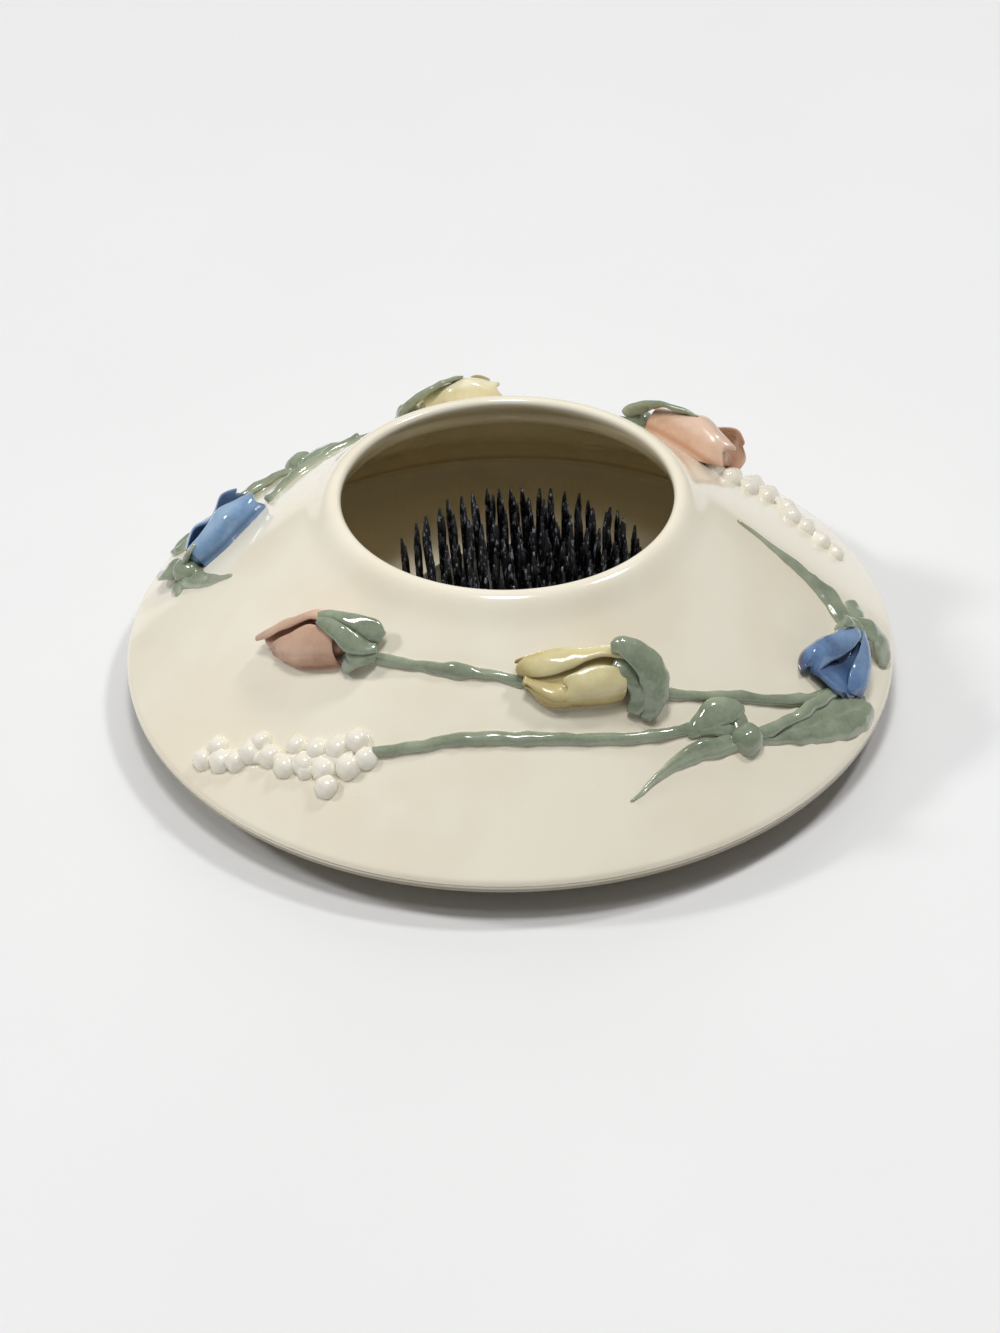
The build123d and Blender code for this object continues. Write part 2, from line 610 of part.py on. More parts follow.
def main():
    """Build every piece and write one file for each."""
    core = make_trim_core()
    nodes = {
        "lower_bowl": make_lower_bowl(),
        "upper_shell": make_upper_shell(),
        "pin_holder_base": make_holder_base(),
        "pin_holder_pins": make_holder_pins(),
    }
    front_strips = (
        front_left_stem_shares, front_right_stem_shares, front_blossom_stem_shares, front_long_leaf_shares
    )
    back_strips = (back_left_stem_shares, back_right_stem_shares, back_blossom_stem_shares, back_long_leaf_shares)
    front_beads = (front_bead_shares, front_bead_stalk_shares)
    back_beads = (back_bead_shares, back_bead_stalk_shares)
    nodes.update(make_spray("front", 0, front_bud_shares, front_strips, front_beads, core))
    nodes.update(make_spray("back", back_turn, back_bud_shares, back_strips, back_beads, core))
    os.makedirs("parts", exist_ok=True)
    for name, shape in nodes.items():
        export_step(shape, os.path.join("parts", name + ".step"))


main()
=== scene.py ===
"""Looks of the ikebana suiban: a low porcelain flower bowl with a wide brim, two applied flower
sprays on its cone and a pin holder inside. Sizes are in millimetres in the classes below and
become metres when a piece is finished."""
import logging
import math
from dataclasses import dataclass, field
from enum import Enum
from typing import Iterable, Sequence

import bmesh
import bpy
from mathutils import Matrix, Vector, geometry, noise


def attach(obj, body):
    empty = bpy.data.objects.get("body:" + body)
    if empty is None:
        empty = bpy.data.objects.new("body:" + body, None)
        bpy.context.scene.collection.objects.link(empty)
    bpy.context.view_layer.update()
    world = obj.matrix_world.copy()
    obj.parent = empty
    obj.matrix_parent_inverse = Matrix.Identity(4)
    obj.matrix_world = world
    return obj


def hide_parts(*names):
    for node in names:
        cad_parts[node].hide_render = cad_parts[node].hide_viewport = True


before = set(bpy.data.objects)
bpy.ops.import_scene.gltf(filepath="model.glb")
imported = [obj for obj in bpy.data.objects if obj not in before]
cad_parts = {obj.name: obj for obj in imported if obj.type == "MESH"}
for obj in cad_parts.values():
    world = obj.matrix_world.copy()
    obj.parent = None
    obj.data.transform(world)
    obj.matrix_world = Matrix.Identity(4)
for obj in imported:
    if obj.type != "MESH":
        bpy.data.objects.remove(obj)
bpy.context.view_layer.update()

logging.basicConfig(level=logging.INFO, format="%(message)s")
LOG = logging.getLogger("suiban")
MM = 0.001
GLAZE_IOR = 1.52
NOISE_SEED = 7
Colour = tuple[int, int, int]
Stations = tuple[tuple[float, float, float, float], ...]


class Body(Enum):
    """The two rigid bodies of the frame."""

    VESSEL = "vessel"
    HOLDER = "pin_holder"


class Clay(Enum):
    """Glaze slots of the record."""

    CREAM = "cream_glaze"
    PINK = "pink_glaze"
    YELLOW = "yellow_glaze"
    BLUE = "blue_glaze"
    SAGE = "sage_glaze"
    WHITE = "white_glaze"
    LEAD = "holder_lead"
    PINS = "holder_pins"


class Link:
    """A node socket that takes part in Python expressions and adds its own Math nodes."""

    def __init__(self, graph: "Graph", socket: bpy.types.NodeSocket) -> None:
        """Keep the graph and the socket."""
        self.graph = graph
        self.socket = socket

    def _math(self, operation: str, *values: "Link | float") -> "Link":
        """Add a Math node.

        Args:
            operation: The node's operation.
            values: Its inputs in order.

        Returns:
            The node's output.
        """
        inputs = {index: value for index, value in enumerate(values)}
        return self.graph.node("ShaderNodeMath", {"operation": operation}, inputs)

    def __add__(self, other: "Link | float") -> "Link":
        """Sum."""
        return self._math("ADD", self, other)

    def __sub__(self, other: "Link | float") -> "Link":
        """Difference."""
        return self._math("SUBTRACT", self, other)

    def __rsub__(self, other: float) -> "Link":
        """Difference from a number on the left."""
        return self._math("SUBTRACT", other, self)

    def __mul__(self, other: "Link | float") -> "Link":
        """Product."""
        return self._math("MULTIPLY", self, other)

    def __pow__(self, other: "Link | float") -> "Link":
        """Power."""
        return self._math("POWER", self, other)

    def clamp(self) -> "Link":
        """Keep the value between nought and one."""
        return self.graph.node("ShaderNodeClamp", {}, {"Value": self})

    def smooth(self, low: float, high: float) -> "Link":
        """Smooth step.

        Args:
            low: Value that gives nought.
            high: Value that gives one.

        Returns:
            The eased value.
        """
        settings = {"interpolation_type": "SMOOTHSTEP"}
        inputs = {"Value": self, "From Min": low, "From Max": high}
        return self.graph.node("ShaderNodeMapRange", settings, inputs)


class Graph:
    """Node tree of one material."""

    def __init__(self, name: str) -> None:
        """Make an empty material of that name."""
        self.material = bpy.data.materials.new(name)
        self.material.use_nodes = True
        self.tree = self.material.node_tree
        self.tree.nodes.clear()

    def node(self, kind: str, settings: dict, inputs: dict, output: int | str = 0) -> Link:
        """Add any node.

        Args:
            kind: The node's type.
            settings: Its properties.
            inputs: Values or links for its sockets.
            output: The output that is wanted.

        Returns:
            That output.
        """
        made = self.tree.nodes.new(kind)
        for key, value in settings.items():
            setattr(made, key, value)
        for key, value in inputs.items():
            if isinstance(value, Link):
                self.tree.links.new(value.socket, made.inputs[key])
            else:
                made.inputs[key].default_value = value
        return Link(self, made.outputs[output])

    def place(self) -> Link:
        """Object coordinates."""
        return self.node("ShaderNodeTexCoord", {}, {}, "Object")

    def cone(self) -> tuple[Link, Link, Link]:
        """Where a point lies on the bowl.

        Returns:
            Its radius, its height, and its height over the cone's surface, in metres.
        """
        parts = self.tree.nodes.new("ShaderNodeSeparateXYZ")
        self.tree.links.new(self.place().socket, parts.inputs[0])
        x, y, z = (Link(self, parts.outputs[index]) for index in range(3))
        radius = (x * x + y * y) ** 0.5
        slope = CONE.rise / CONE.run
        return radius, z, z + radius * slope - (CONE.rim_top + CONE.rim_radius * slope) * MM

    def noise(
        self, size: float, detail: float = 3.0, stretch: tuple[float, float, float] = (1, 1, 1)
    ) -> Link:
        """Noise on object coordinates.

        Args:
            size: Size of its features in millimetres.
            detail: Octaves.
            stretch: Scale along each axis.

        Returns:
            Value about 0.5.
        """
        spread = self.node("ShaderNodeMapping", {}, {"Vector": self.place(), "Scale": stretch})
        inputs = {"Vector": spread, "Scale": 1 / (size * MM), "Detail": detail}
        return self.node("ShaderNodeTexNoise", {}, inputs)

    def mix(self, factor: Link | float, first: "Link | Colour", second: "Link | Colour") -> Link:
        """Mix two colours.

        Args:
            factor: Share of the second.
            first: Display colour or link.
            second: Display colour or link.

        Returns:
            The mixed colour.
        """
        made = self.tree.nodes.new("ShaderNodeMix")
        made.data_type = "RGBA"
        for index, value in ((0, factor), (6, first), (7, second)):
            if isinstance(value, Link):
                self.tree.links.new(value.socket, made.inputs[index])
            elif index:
                made.inputs[index].default_value = (*linear(*value), 1)
            else:
                made.inputs[index].default_value = value
        return Link(self, made.outputs[2])

    def bump(self, height: Link, strength: float, distance: float) -> Link:
        """Bump from a height.

        Args:
            height: Height from nought to one.
            strength: Share of the bump.
            distance: Depth in millimetres.

        Returns:
            A normal.
        """
        inputs = {"Height": height, "Strength": strength, "Distance": distance * MM}
        return self.node("ShaderNodeBump", {}, inputs, "Normal")

    def surface(self, inputs: dict) -> bpy.types.Material:
        """Finish with a Principled shader.

        Args:
            inputs: Values or links for its sockets.

        Returns:
            The material.
        """
        shader = self.node("ShaderNodeBsdfPrincipled", {}, inputs)
        target = self.tree.nodes.new("ShaderNodeOutputMaterial")
        self.tree.links.new(shader.socket, target.inputs["Surface"])
        return self.material


def linear(red: int, green: int, blue: int) -> tuple[float, float, float]:
    """Turn a display colour into scene values.

    Args:
        red: Red from 0 to 255.
        green: Green from 0 to 255.
        blue: Blue from 0 to 255.

    Returns:
        The linear colour.
    """
    shares = (channel / 255 for channel in (red, green, blue))
    return tuple(((c + 0.055) / 1.055) ** 2.4 if c > 10 / 255 else c / 12.92 for c in shares)


@dataclass(frozen=True)
class Cone:
    """The bowl's outer cone, which the applied clay is laid on."""

    rim_radius: float = 90.0
    rim_top: float = 11.0
    crease_radius: float = 42.6
    rise: float = 39.6

    @property
    def run(self) -> float:
        """Horizontal length of the slope."""
        return self.rim_radius - self.crease_radius

    def level(self, radius: float) -> float:
        """Height of the surface at a radius."""
        return self.rim_top + (self.rim_radius - radius) * self.rise / self.run

    def spot(self, share: float, azimuth: float) -> tuple[Vector, Vector, Vector, Vector]:
        """Place on the slope.

        Args:
            share: Share of the way from crease to rim.
            azimuth: Degrees round the bowl, the front at -90.

        Returns:
            The point, and the directions round the bowl, down the slope and out of it.
        """
        radius = self.crease_radius + share * self.run
        angle = math.radians(azimuth)
        slant = math.hypot(self.run, self.rise)
        cosine, sine = self.run / slant, self.rise / slant
        around = Vector((-math.sin(angle), math.cos(angle), 0))
        outward = Vector((math.cos(angle), math.sin(angle), 0))
        down = outward * cosine - Vector((0, 0, sine))
        normal = outward * sine + Vector((0, 0, cosine))
        return outward * radius + Vector((0, 0, self.level(radius))), around, down, normal


CONE = Cone()


@dataclass(frozen=True)
class GlazeFinish:
    """Gloss glaze over coloured slip, paler where it pools on the cone, with painted shade low down in
    folds and paler high parts that are partly thin glaze and partly painted highlight.
    """

    slot: Clay
    name: str
    colour: Colour
    deep: Colour
    pale: Colour
    roughness: float
    coat: float
    pooling: float
    # Height in millimetres above the cone up to which the painted fold shade reaches; nought for none.
    hollow: float = 0.0
    pool_band: tuple[float, float] = (0.0002, 0.0016)
    crest_band: tuple[float, float] = (0.0052, 0.0082)
    fold_shade_strength: float = 0.95
    thin_glaze_and_highlight: float = 0.4

    def material(self) -> bpy.types.Material:
        """Build the material.

        Returns:
            The glaze.
        """
        graph = Graph(self.name)
        lift = graph.cone()[2]
        cloud = graph.noise(7.0, 4.0)
        fine = graph.noise(0.9, 2.0)
        base = graph.mix((cloud * 1.6 - 0.3).clamp(), self.deep, self.colour)
        base = graph.mix(((fine - 0.5) * 0.3 + 0.10).clamp(), base, self.pale)
        if self.hollow:
            # Painted shade: the deep colour low down near the cone, in folds and hollows where shade
            # falls.
            low = 1 - lift.smooth(self.pool_band[1], self.hollow * MM)
            base = graph.mix(low * self.fold_shade_strength, base, self.deep)
            # Paler on the highest parts: partly thin glaze on raised forms, partly painted highlight on
            # lit tops.
            base = graph.mix(lift.smooth(*self.crest_band) * self.thin_glaze_and_highlight, base, self.pale)
        base = graph.mix((1 - lift.smooth(*self.pool_band)) * self.pooling, base, self.pale)
        return graph.surface({
            "Base Color": base,
            "Roughness": (cloud - 0.5) * 0.10 + self.roughness,
            "IOR": GLAZE_IOR,
            "Coat Weight": self.coat,
            "Coat Roughness": 0.06,
            "Normal": graph.bump(graph.noise(3.2, 2.0), 0.35, 0.05),
        })


@dataclass(frozen=True)
class PorcelainFinish:
    """Cream gloss glaze of the thrown bowl with faint clouds and rings, with painted shade on the rim
    band, on the underside and foot, and warm painted shade in the inner dome.
    """

    name: str = "suiban_cream_glaze"
    cream: Colour = (249, 242, 223)
    warm: Colour = (245, 236, 213)
    edge: Colour = (218, 204, 178)
    # Colour of the painted shade on the underside of the brim and on the foot ring.
    underside_shade: Colour = (120, 107, 84)
    # Warm colours of the painted shade in the inner dome.
    dome_shade_light: Colour = (253, 240, 200)
    dome_shade_deep: Colour = (250, 233, 188)
    # Radii in metres over which the rim band's painted shade fades in.
    rim_shade_band: tuple[float, float] = (0.0884, 0.0899)
    # Bands in metres that bound the inner dome's painted shade.
    wall_band: tuple[float, float] = (0.0022, 0.0036)
    floor_band: tuple[float, float] = (0.0068, 0.0095)
    cavity_band: tuple[float, float] = (0.0795, 0.0810)
    # Line up the underside from the foot; below it lies the painted shade.
    under_radius: float = 0.062
    under_slope: float = 0.2222
    under_level: float = 0.0029
    under_edge: float = 0.0005
    ring_pitch: float = 1450.0

    def material(self) -> bpy.types.Material:
        """Build the material.

        Returns:
            The glaze.
        """
        graph = Graph(self.name)
        radius, z, lift = graph.cone()
        cloud = graph.noise(26.0, 3.0)
        clouded = cloud.smooth(0.35, 0.65)
        freckle = graph.noise(1.1, 2.0).smooth(0.70, 0.80)
        belly = (radius - self.under_radius) * self.under_slope + self.under_level
        under = 1 - (z - belly).smooth(0.0, self.under_edge)
        inside = (0 - lift).smooth(*self.wall_band) * z.smooth(*self.floor_band)
        dome = inside * (1 - radius.smooth(*self.cavity_band))
        base = graph.mix(clouded, self.warm, self.cream)
        base = graph.mix(freckle * 0.25, base, self.edge)
        # Painted shade: the rim band a little darker towards the brim's edge.
        base = graph.mix(radius.smooth(*self.rim_shade_band) * 0.10, base, self.edge)
        # Painted shade: the underside of the brim and the foot ring darkened where the shadow under the
        # brim falls.
        base = graph.mix(under * 0.80, base, self.underside_shade)
        # Painted shade: a warmer tint on the inner dome wall above the floor, where the interior lies in
        # shade.
        base = graph.mix(dome, base, graph.mix(clouded, self.dome_shade_light, self.dome_shade_deep))
        turns = {0: radius * self.ring_pitch + cloud * 3.0}
        rings = graph.node("ShaderNodeMath", {"operation": "SINE"}, turns)
        height = rings * 0.10 + graph.noise(5.0, 2.0)
        return graph.surface({
            "Base Color": base,
            "Roughness": (cloud - 0.5) * 0.08 + 0.15,
            "IOR": GLAZE_IOR,
            "Coat Weight": 0.5,
            "Coat Roughness": 0.05,
            "Normal": graph.bump(height, 0.25, 0.05),
        })


@dataclass(frozen=True)
class LeadFinish:
    """Cast pale metal of the pin holder's weight, dull and slightly pitted."""

    name: str = "holder_cast_lead"

    def material(self) -> bpy.types.Material:
        """Build the material.

        Returns:
            The metal.
        """
        graph = Graph(self.name)
        grain = graph.noise(0.8, 5.0)
        cloud = graph.noise(6.0, 3.0)
        return graph.surface({
            "Base Color": graph.mix(cloud.smooth(0.3, 0.7), (150, 150, 146), (205, 203, 196)),
            "Metallic": 0.65,
            "Roughness": grain * 0.25 + 0.32,
            "Normal": graph.bump(grain, 0.5, 0.06),
        })


@dataclass(frozen=True)
class PinFinish:
    """Drawn needles, nearly black, with painted bluish glints on metallic specks."""

    name: str = "holder_needles"

    def material(self) -> bpy.types.Material:
        """Build the material.

        Returns:
            The metal.
        """
        graph = Graph(self.name)
        speck = graph.noise(0.7, 4.0, (1, 1, 0.35))
        # Painted glints: bright bluish specks in the base colour, which are also more metallic and
        # smoother.
        glint_speck = speck.smooth(0.57, 0.65)
        return graph.surface({
            "Base Color": graph.mix(glint_speck, (14, 14, 17), (166, 174, 188)),
            "Metallic": glint_speck * 0.7,
            "Roughness": 0.52 - glint_speck * 0.22,
            "Normal": graph.bump(speck, 0.6, 0.05),
        })


@dataclass(frozen=True)
class TableFinish:
    """Plain pale table top."""

    name: str = "pale_table"

    def material(self) -> bpy.types.Material:
        """Build the material.

        Returns:
            The table's paint.
        """
        graph = Graph(self.name)
        cloud = graph.noise(90.0, 2.0)
        return graph.surface({
            "Base Color": graph.mix(cloud, (236, 236, 235), (241, 241, 240)),
            "Roughness": 0.55,
        })


def finished(
    mesh: bmesh.types.BMesh, name: str, body: Body, node: str, material: bpy.types.Material,
    subdivisions: int = 0,
) -> bpy.types.Object:
    """Turn a bmesh in millimetres into a piece of the object.

    Args:
        mesh: The piece's mesh, which is freed.
        name: The piece's name.
        body: Body that it rides on.
        node: CAD node that it stands for.
        material: Its material.
        subdivisions: Levels of subdivision.

    Returns:
        The new object.
    """
    bmesh.ops.remove_doubles(mesh, verts=mesh.verts, dist=0.002)
    bmesh.ops.recalc_face_normals(mesh, faces=mesh.faces)
    bmesh.ops.scale(mesh, vec=(MM, MM, MM), verts=mesh.verts)
    for face in mesh.faces:
        face.smooth = True
    data = bpy.data.meshes.new(name)
    mesh.to_mesh(data)
    mesh.free()
    piece = bpy.data.objects.new(name, data)
    bpy.context.scene.collection.objects.link(piece)
    piece.data.materials.append(material)
    if subdivisions:
        modifier = piece.modifiers.new("smooth", "SUBSURF")
        modifier.levels = modifier.render_levels = subdivisions
    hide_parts(node)
    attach(piece, body.value)
    LOG.info("%s: %d faces for %s", name, len(data.polygons), node)
    return piece


def knead(mesh: bmesh.types.BMesh, size: float, depth: float, seed: int) -> None:
    """Press the clay about as fingers do.

    Args:
        mesh: The mesh in millimetres.
        size: Size of the dents.
        depth: Their depth.
        seed: Number that makes the piece its own.
    """
    shift = Vector((1.7, 2.3, 3.1)) * seed
    for vert in mesh.verts:
        vert.co += noise.noise_vector(vert.co / size + shift) * depth


def at(radius: float, height: float) -> Vector:
    """Point of a profile."""
    return Vector((radius, 0, height))


def arc(first: Vector, middle: Vector, last: Vector, steps: int) -> list[Vector]:
    """Points along a circular arc in the plane of radius and height.

    Args:
        first: Start.
        middle: A point on the way.
        last: End.
        steps: Number of steps.

    Returns:
        The points, start and end included.
    """
    ax, az, bx, bz, cx, cz = first.x, first.z, middle.x, middle.z, last.x, last.z
    twice = 2 * (ax * (bz - cz) + bx * (cz - az) + cx * (az - bz))
    a2, b2, c2 = ax * ax + az * az, bx * bx + bz * bz, cx * cx + cz * cz
    ux = (a2 * (bz - cz) + b2 * (cz - az) + c2 * (az - bz)) / twice
    uz = (a2 * (cx - bx) + b2 * (ax - cx) + c2 * (bx - ax)) / twice
    radius = math.hypot(ax - ux, az - uz)
    start = math.atan2(az - uz, ax - ux)
    turn = [(math.atan2(z - uz, x - ux) - start) % (2 * math.pi) for x, z in ((bx, bz), (cx, cz))]
    sweep = turn[1] if turn[0] < turn[1] else turn[1] - 2 * math.pi
    angles = [start + sweep * index / steps for index in range(steps + 1)]
    return [Vector((ux + radius * math.cos(a), 0, uz + radius * math.sin(a))) for a in angles]


def spin_profile(points: Iterable[Vector], closed: bool, steps: int = 160) -> bmesh.types.BMesh:
    """Turn a profile about the bowl's axis.

    Args:
        points: Profile from place to place in radius and height.
        closed: Whether the last point joins the first.
        steps: Steps of the turn.

    Returns:
        The turned mesh in millimetres.
    """
    mesh = bmesh.new()
    verts = [mesh.verts.new(point) for point in points]
    edges = [mesh.edges.new(pair) for pair in zip(verts, verts[1:])]
    if closed:
        edges.append(mesh.edges.new((verts[-1], verts[0])))
    bmesh.ops.spin(
        mesh, geom=[*verts, *edges], cent=(0, 0, 0), axis=(0, 0, 1), dvec=(0, 0, 0), angle=2 * math.pi,
        steps=steps, use_merge=True,
    )
    return mesh


@dataclass
class Vessel:
    """The thrown bowl in its two halves."""

    lip_top: float = 53.2
    mouth_radius: float = 38.2
    lip_inner_drop: float = 1.2
    crest_radius: float = 39.5
    lip_foot: float = 47.0
    lip_hollow: float = 43.4
    lip_bulge: float = 42.3
    seam_level: float = 9.9
    rim_lift: float = 8.0
    rim_tuck: float = 1.0
    seam_bevel: float = 0.3
    cavity_radius: float = 79.0
    floor_level: float = 6.4
    wall: float = 6.26
    straight_share: float = 0.66
    foot_radius: float = 62.0
    foot_width: float = 5.0
    foot_height: float = 2.0
    foot_recess: float = 2.2
    foot_round: float = 0.6
    slope_radii: tuple[float, ...] = (86, 82, 77, 72, 67, 62, 57, 52, 48.5)
    dome_radii: tuple[float, ...] = (40.5, 45, 51, 58)
    neck: tuple[tuple[float, float], ...] = ((38.24, 51.3), (38.55, 50.2), (39.1, 49.0), (39.8, 47.6))
    cove_reach: float = 7.4
    cove_pull: float = 5.6
    lip_steps: int = 6
    rim_round: float = 0.8
    rim_fall: float = 0.7
    rim_turn: tuple[float, float] = (0.16, 0.1)
    under_edge: tuple[tuple[float, float], ...] = ((89.85, 9.65), (89.85, 8.9), (89.6, 8.25))
    floor_cove: tuple[tuple[float, float], ...] = ((71.5, 6.4), (76.5, 6.4), (79.0, 7.6))
    belly_fall: float = 0.9
    finish: PorcelainFinish = field(default_factory=PorcelainFinish)

    def upper_profile(self) -> list[Vector]:
        """Closed profile of the cone, lip and inner dome.

        Returns:
            Points in radius and height.
        """
        crest = at(self.crest_radius, self.lip_top)
        bend_radius = self.mouth_radius + self.straight_share * (self.cavity_radius - self.mouth_radius)
        bend, fall = (
            at(r, CONE.level(r) - self.wall) for r in (bend_radius, bend_radius + self.cove_reach)
        )
        seat = at(self.cavity_radius, self.seam_level)
        rim = at(CONE.rim_radius, self.seam_level + self.seam_bevel)
        inset, drop = self.rim_turn
        shoulder = arc(
            at(CONE.rim_radius, CONE.rim_top - self.rim_fall),
            at(CONE.rim_radius - inset, CONE.rim_top - drop),
            at(CONE.rim_radius - self.rim_round, CONE.level(CONE.rim_radius - self.rim_round)), 4,
        )
        slope = [at(r, CONE.level(r)) for r in self.slope_radii]
        foot, hollow = (at(r, CONE.level(r)) for r in (self.lip_foot, self.lip_hollow))
        lip = geometry.interpolate_bezier(foot, hollow, at(self.lip_bulge, self.lip_top), crest, 14)
        width, fall_in = crest.x - self.mouth_radius, self.lip_inner_drop
        for step in range(1, self.lip_steps + 1):
            turn = step / self.lip_steps * math.pi / 2
            lip.append(crest - Vector((width * math.sin(turn), 0, fall_in * (1 - math.cos(turn)))))
        dome = [at(r, CONE.level(r) - self.wall) for r in self.dome_radii]
        cove = geometry.interpolate_bezier(bend, fall, at(seat.x, seat.z + self.cove_pull), seat, 12)
        seam = at(CONE.rim_radius - self.seam_bevel, self.seam_level)
        return [rim, *shoulder, *slope, *lip, *(at(*p) for p in self.neck), *dome, *cove, seam]

    def lower_profile(self) -> list[Vector]:
        """Open profile of the lower bowl from the middle of its floor round to the middle of its foot.

        Returns:
            Points in radius and height.
        """
        seat = at(self.cavity_radius, self.seam_level)
        cove = geometry.interpolate_bezier(*(at(*p) for p in self.floor_cove), seat, 9)
        under = at(CONE.rim_radius - self.rim_tuck, self.rim_lift)
        seam, outer, turn = (at(*p) for p in self.under_edge)
        foot = at(self.foot_radius, self.foot_height)
        belly = at((under.x + foot.x) / 2, (under.z + foot.z) / 2 - self.belly_fall)
        inner = self.foot_radius - self.foot_width
        return [
            *(at(r, self.floor_level) for r in (0, 30, 60)), *cove,
            at(CONE.rim_radius - self.seam_bevel, self.seam_level), seam,
            *arc(outer, turn, under, 4), *arc(under, belly, foot, 8)[1:],
            at(self.foot_radius, self.foot_round),
            at(self.foot_radius - self.foot_round, 0), at(inner + self.foot_round, 0),
            at(inner, self.foot_round), *(at(r, self.foot_recess) for r in (inner, 30, 0)),
        ]

    def build(self) -> None:
        """Make both halves."""
        glaze = self.finish.material()
        upper = spin_profile(self.upper_profile(), True)
        finished(upper, "suiban_cone", Body.VESSEL, "upper_shell", glaze)
        lower = spin_profile(self.lower_profile(), False)
        finished(lower, "suiban_floor", Body.VESSEL, "lower_bowl", glaze)


@dataclass
class PinHolder:
    """The round weight with its field of needles, at its place a little off the mouth's middle."""

    radius: float = 30.0
    bottom: float = 6.7
    height: float = 7.4
    bevel: float = 0.9
    offset: tuple[float, float] = (3.4, 4.6)
    bed: float = 1.0
    bed_radius: float = 29.1
    field_radius: float = 28.2
    pitch: float = 2.94
    spread: float = 0.9
    width: float = 1.72
    tip: float = 0.62
    shoulder: float = 13.4
    pin_height: float = 17.6
    lean: float = 0.95
    grid_turn: float = 4.0
    clump: float = 4.1
    uneven: float = 0.4
    uneven_step: float = 5.3
    taper: float = 0.94
    sunk: float = 0.3

    def disc(self, radius: float, height: float, middle: float) -> bmesh.types.BMesh:
        """Round plate on the holder's axis.

        Args:
            radius: Its radius.
            height: Its thickness.
            middle: Level of its middle.

        Returns:
            The mesh in millimetres.
        """
        mesh = bmesh.new()
        bmesh.ops.create_cone(
            mesh, cap_ends=True, segments=96, radius1=radius, radius2=radius, depth=height
        )
        bmesh.ops.translate(mesh, vec=(*self.offset, middle), verts=mesh.verts)
        return mesh

    def weight(self) -> bmesh.types.BMesh:
        """Weight with a softened top edge.

        Returns:
            The mesh in millimetres.
        """
        middle = self.bottom + self.height / 2
        mesh = self.disc(self.radius, self.height, middle)
        top = [e for e in mesh.edges if all(v.co.z > middle for v in e.verts)]
        bmesh.ops.bevel(
            mesh, geom=top, offset=self.bevel, offset_type="OFFSET", segments=3, profile=0.5,
            affect="EDGES", material=-1,
        )
        return mesh

    def places(self) -> Iterable[tuple[float, float]]:
        """Places of the needles on the turned square grid.

        Returns:
            Pairs of x and y from the holder's middle.
        """
        reach = int(self.field_radius / self.pitch) + 1
        cosine, sine = math.cos(math.radians(self.grid_turn)), math.sin(math.radians(self.grid_turn))
        for row in range(-reach, reach + 1):
            for column in range(-reach, reach + 1):
                x, y = column * self.pitch, row * self.pitch
                if math.hypot(x, y) <= self.field_radius:
                    yield x * cosine - y * sine, x * sine + y * cosine

    def pins(self) -> bmesh.types.BMesh:
        """Bed and needles.

        Returns:
            The mesh in millimetres.
        """
        level = self.bottom + self.height + self.bed
        mesh = self.disc(self.bed_radius, self.bed, level - self.bed / 2)
        for index, (x, y) in enumerate(self.places()):
            lean_x, lean_y, _ = noise.noise_vector(Vector((x, y, 0)) / self.clump) * (2 * self.lean)
            lean_x += self.spread * x / self.field_radius
            lean_y += self.spread * y / self.field_radius
            top = self.pin_height - self.uneven * (1 + math.sin(self.uneven_step * index))
            share = self.shoulder / top
            neck = self.width * self.taper
            for low, high, wide, narrow, start, end in (
                (-self.sunk, self.shoulder, self.width, neck, 0.0, share),
                (self.shoulder, top, neck, self.tip, share, 1.0),
            ):
                made = bmesh.ops.create_cone(
                    mesh, cap_ends=low > 0, segments=6, radius1=wide / 2, radius2=narrow / 2,
                    depth=high - low,
                )["verts"]
                for vert in made:
                    at = end if vert.co.z > 0 else start
                    vert.co.x += lean_x * at
                    vert.co.y += lean_y * at
                move = (self.offset[0] + x, self.offset[1] + y, level + (low + high) / 2)
                bmesh.ops.translate(mesh, vec=move, verts=made)
        return mesh

    def build(self) -> None:
        """Make the weight and its needles."""
        lead = LeadFinish().material()
        needles = PinFinish().material()
        finished(self.weight(), "holder_weight", Body.HOLDER, "pin_holder_base", lead)
        pins = finished(
            self.pins(), "holder_needle_field", Body.HOLDER, "pin_holder_pins", needles
        )
        pins.data.materials.append(lead)
        bed_top = (self.bottom + self.height + self.bed + 0.05) * MM
        for face in pins.data.polygons:
            if face.center.z < bed_top and len(face.vertices) != 4:
                face.material_index = 1


def add_ball(
    mesh: bmesh.types.BMesh, radius: float, segments: tuple[int, int],
    squash: tuple[float, float, float], place: Vector,
) -> None:
    """Add a pressed ball of clay.

    Args:
        mesh: The mesh in millimetres.
        radius: Its radius before it is pressed.
        segments: Segments round it and up it.
        squash: Scale along each axis.
        place: Its middle.
    """
    around, upward = segments
    made = bmesh.ops.create_uvsphere(mesh, u_segments=around, v_segments=upward, radius=radius)["verts"]
    bmesh.ops.scale(mesh, vec=squash, verts=made)
    bmesh.ops.translate(mesh, vec=place, verts=made)


def thinned(half_height: float, width: float, least: float) -> float:
    """Half height of a strip where its width is a share of the full one.

    Args:
        half_height: Half height at full width.
        width: The width's share.
        least: Smallest half height.

    Returns:
        The half height in millimetres.
    """
    return max(half_height * min(1, width ** 0.6), least)


def curve_point(values: Sequence[Vector], place: float) -> Vector:
    """Point on a smooth curve through a row of points.

    Args:
        values: The points.
        place: Place along the row from nought to the last index.

    Returns:
        The point.
    """
    last = len(values) - 1
    index = min(int(place), last - 1)
    t = place - index
    p0, p1, p2, p3 = (values[max(0, min(last, index + k))] for k in (-1, 0, 1, 2))
    return 0.5 * (
        2 * p1 + (p2 - p0) * t + (2 * p0 - 5 * p1 + 4 * p2 - p3) * t * t
        + (3 * p1 - p0 - 3 * p2 + p3) * t ** 3
    )


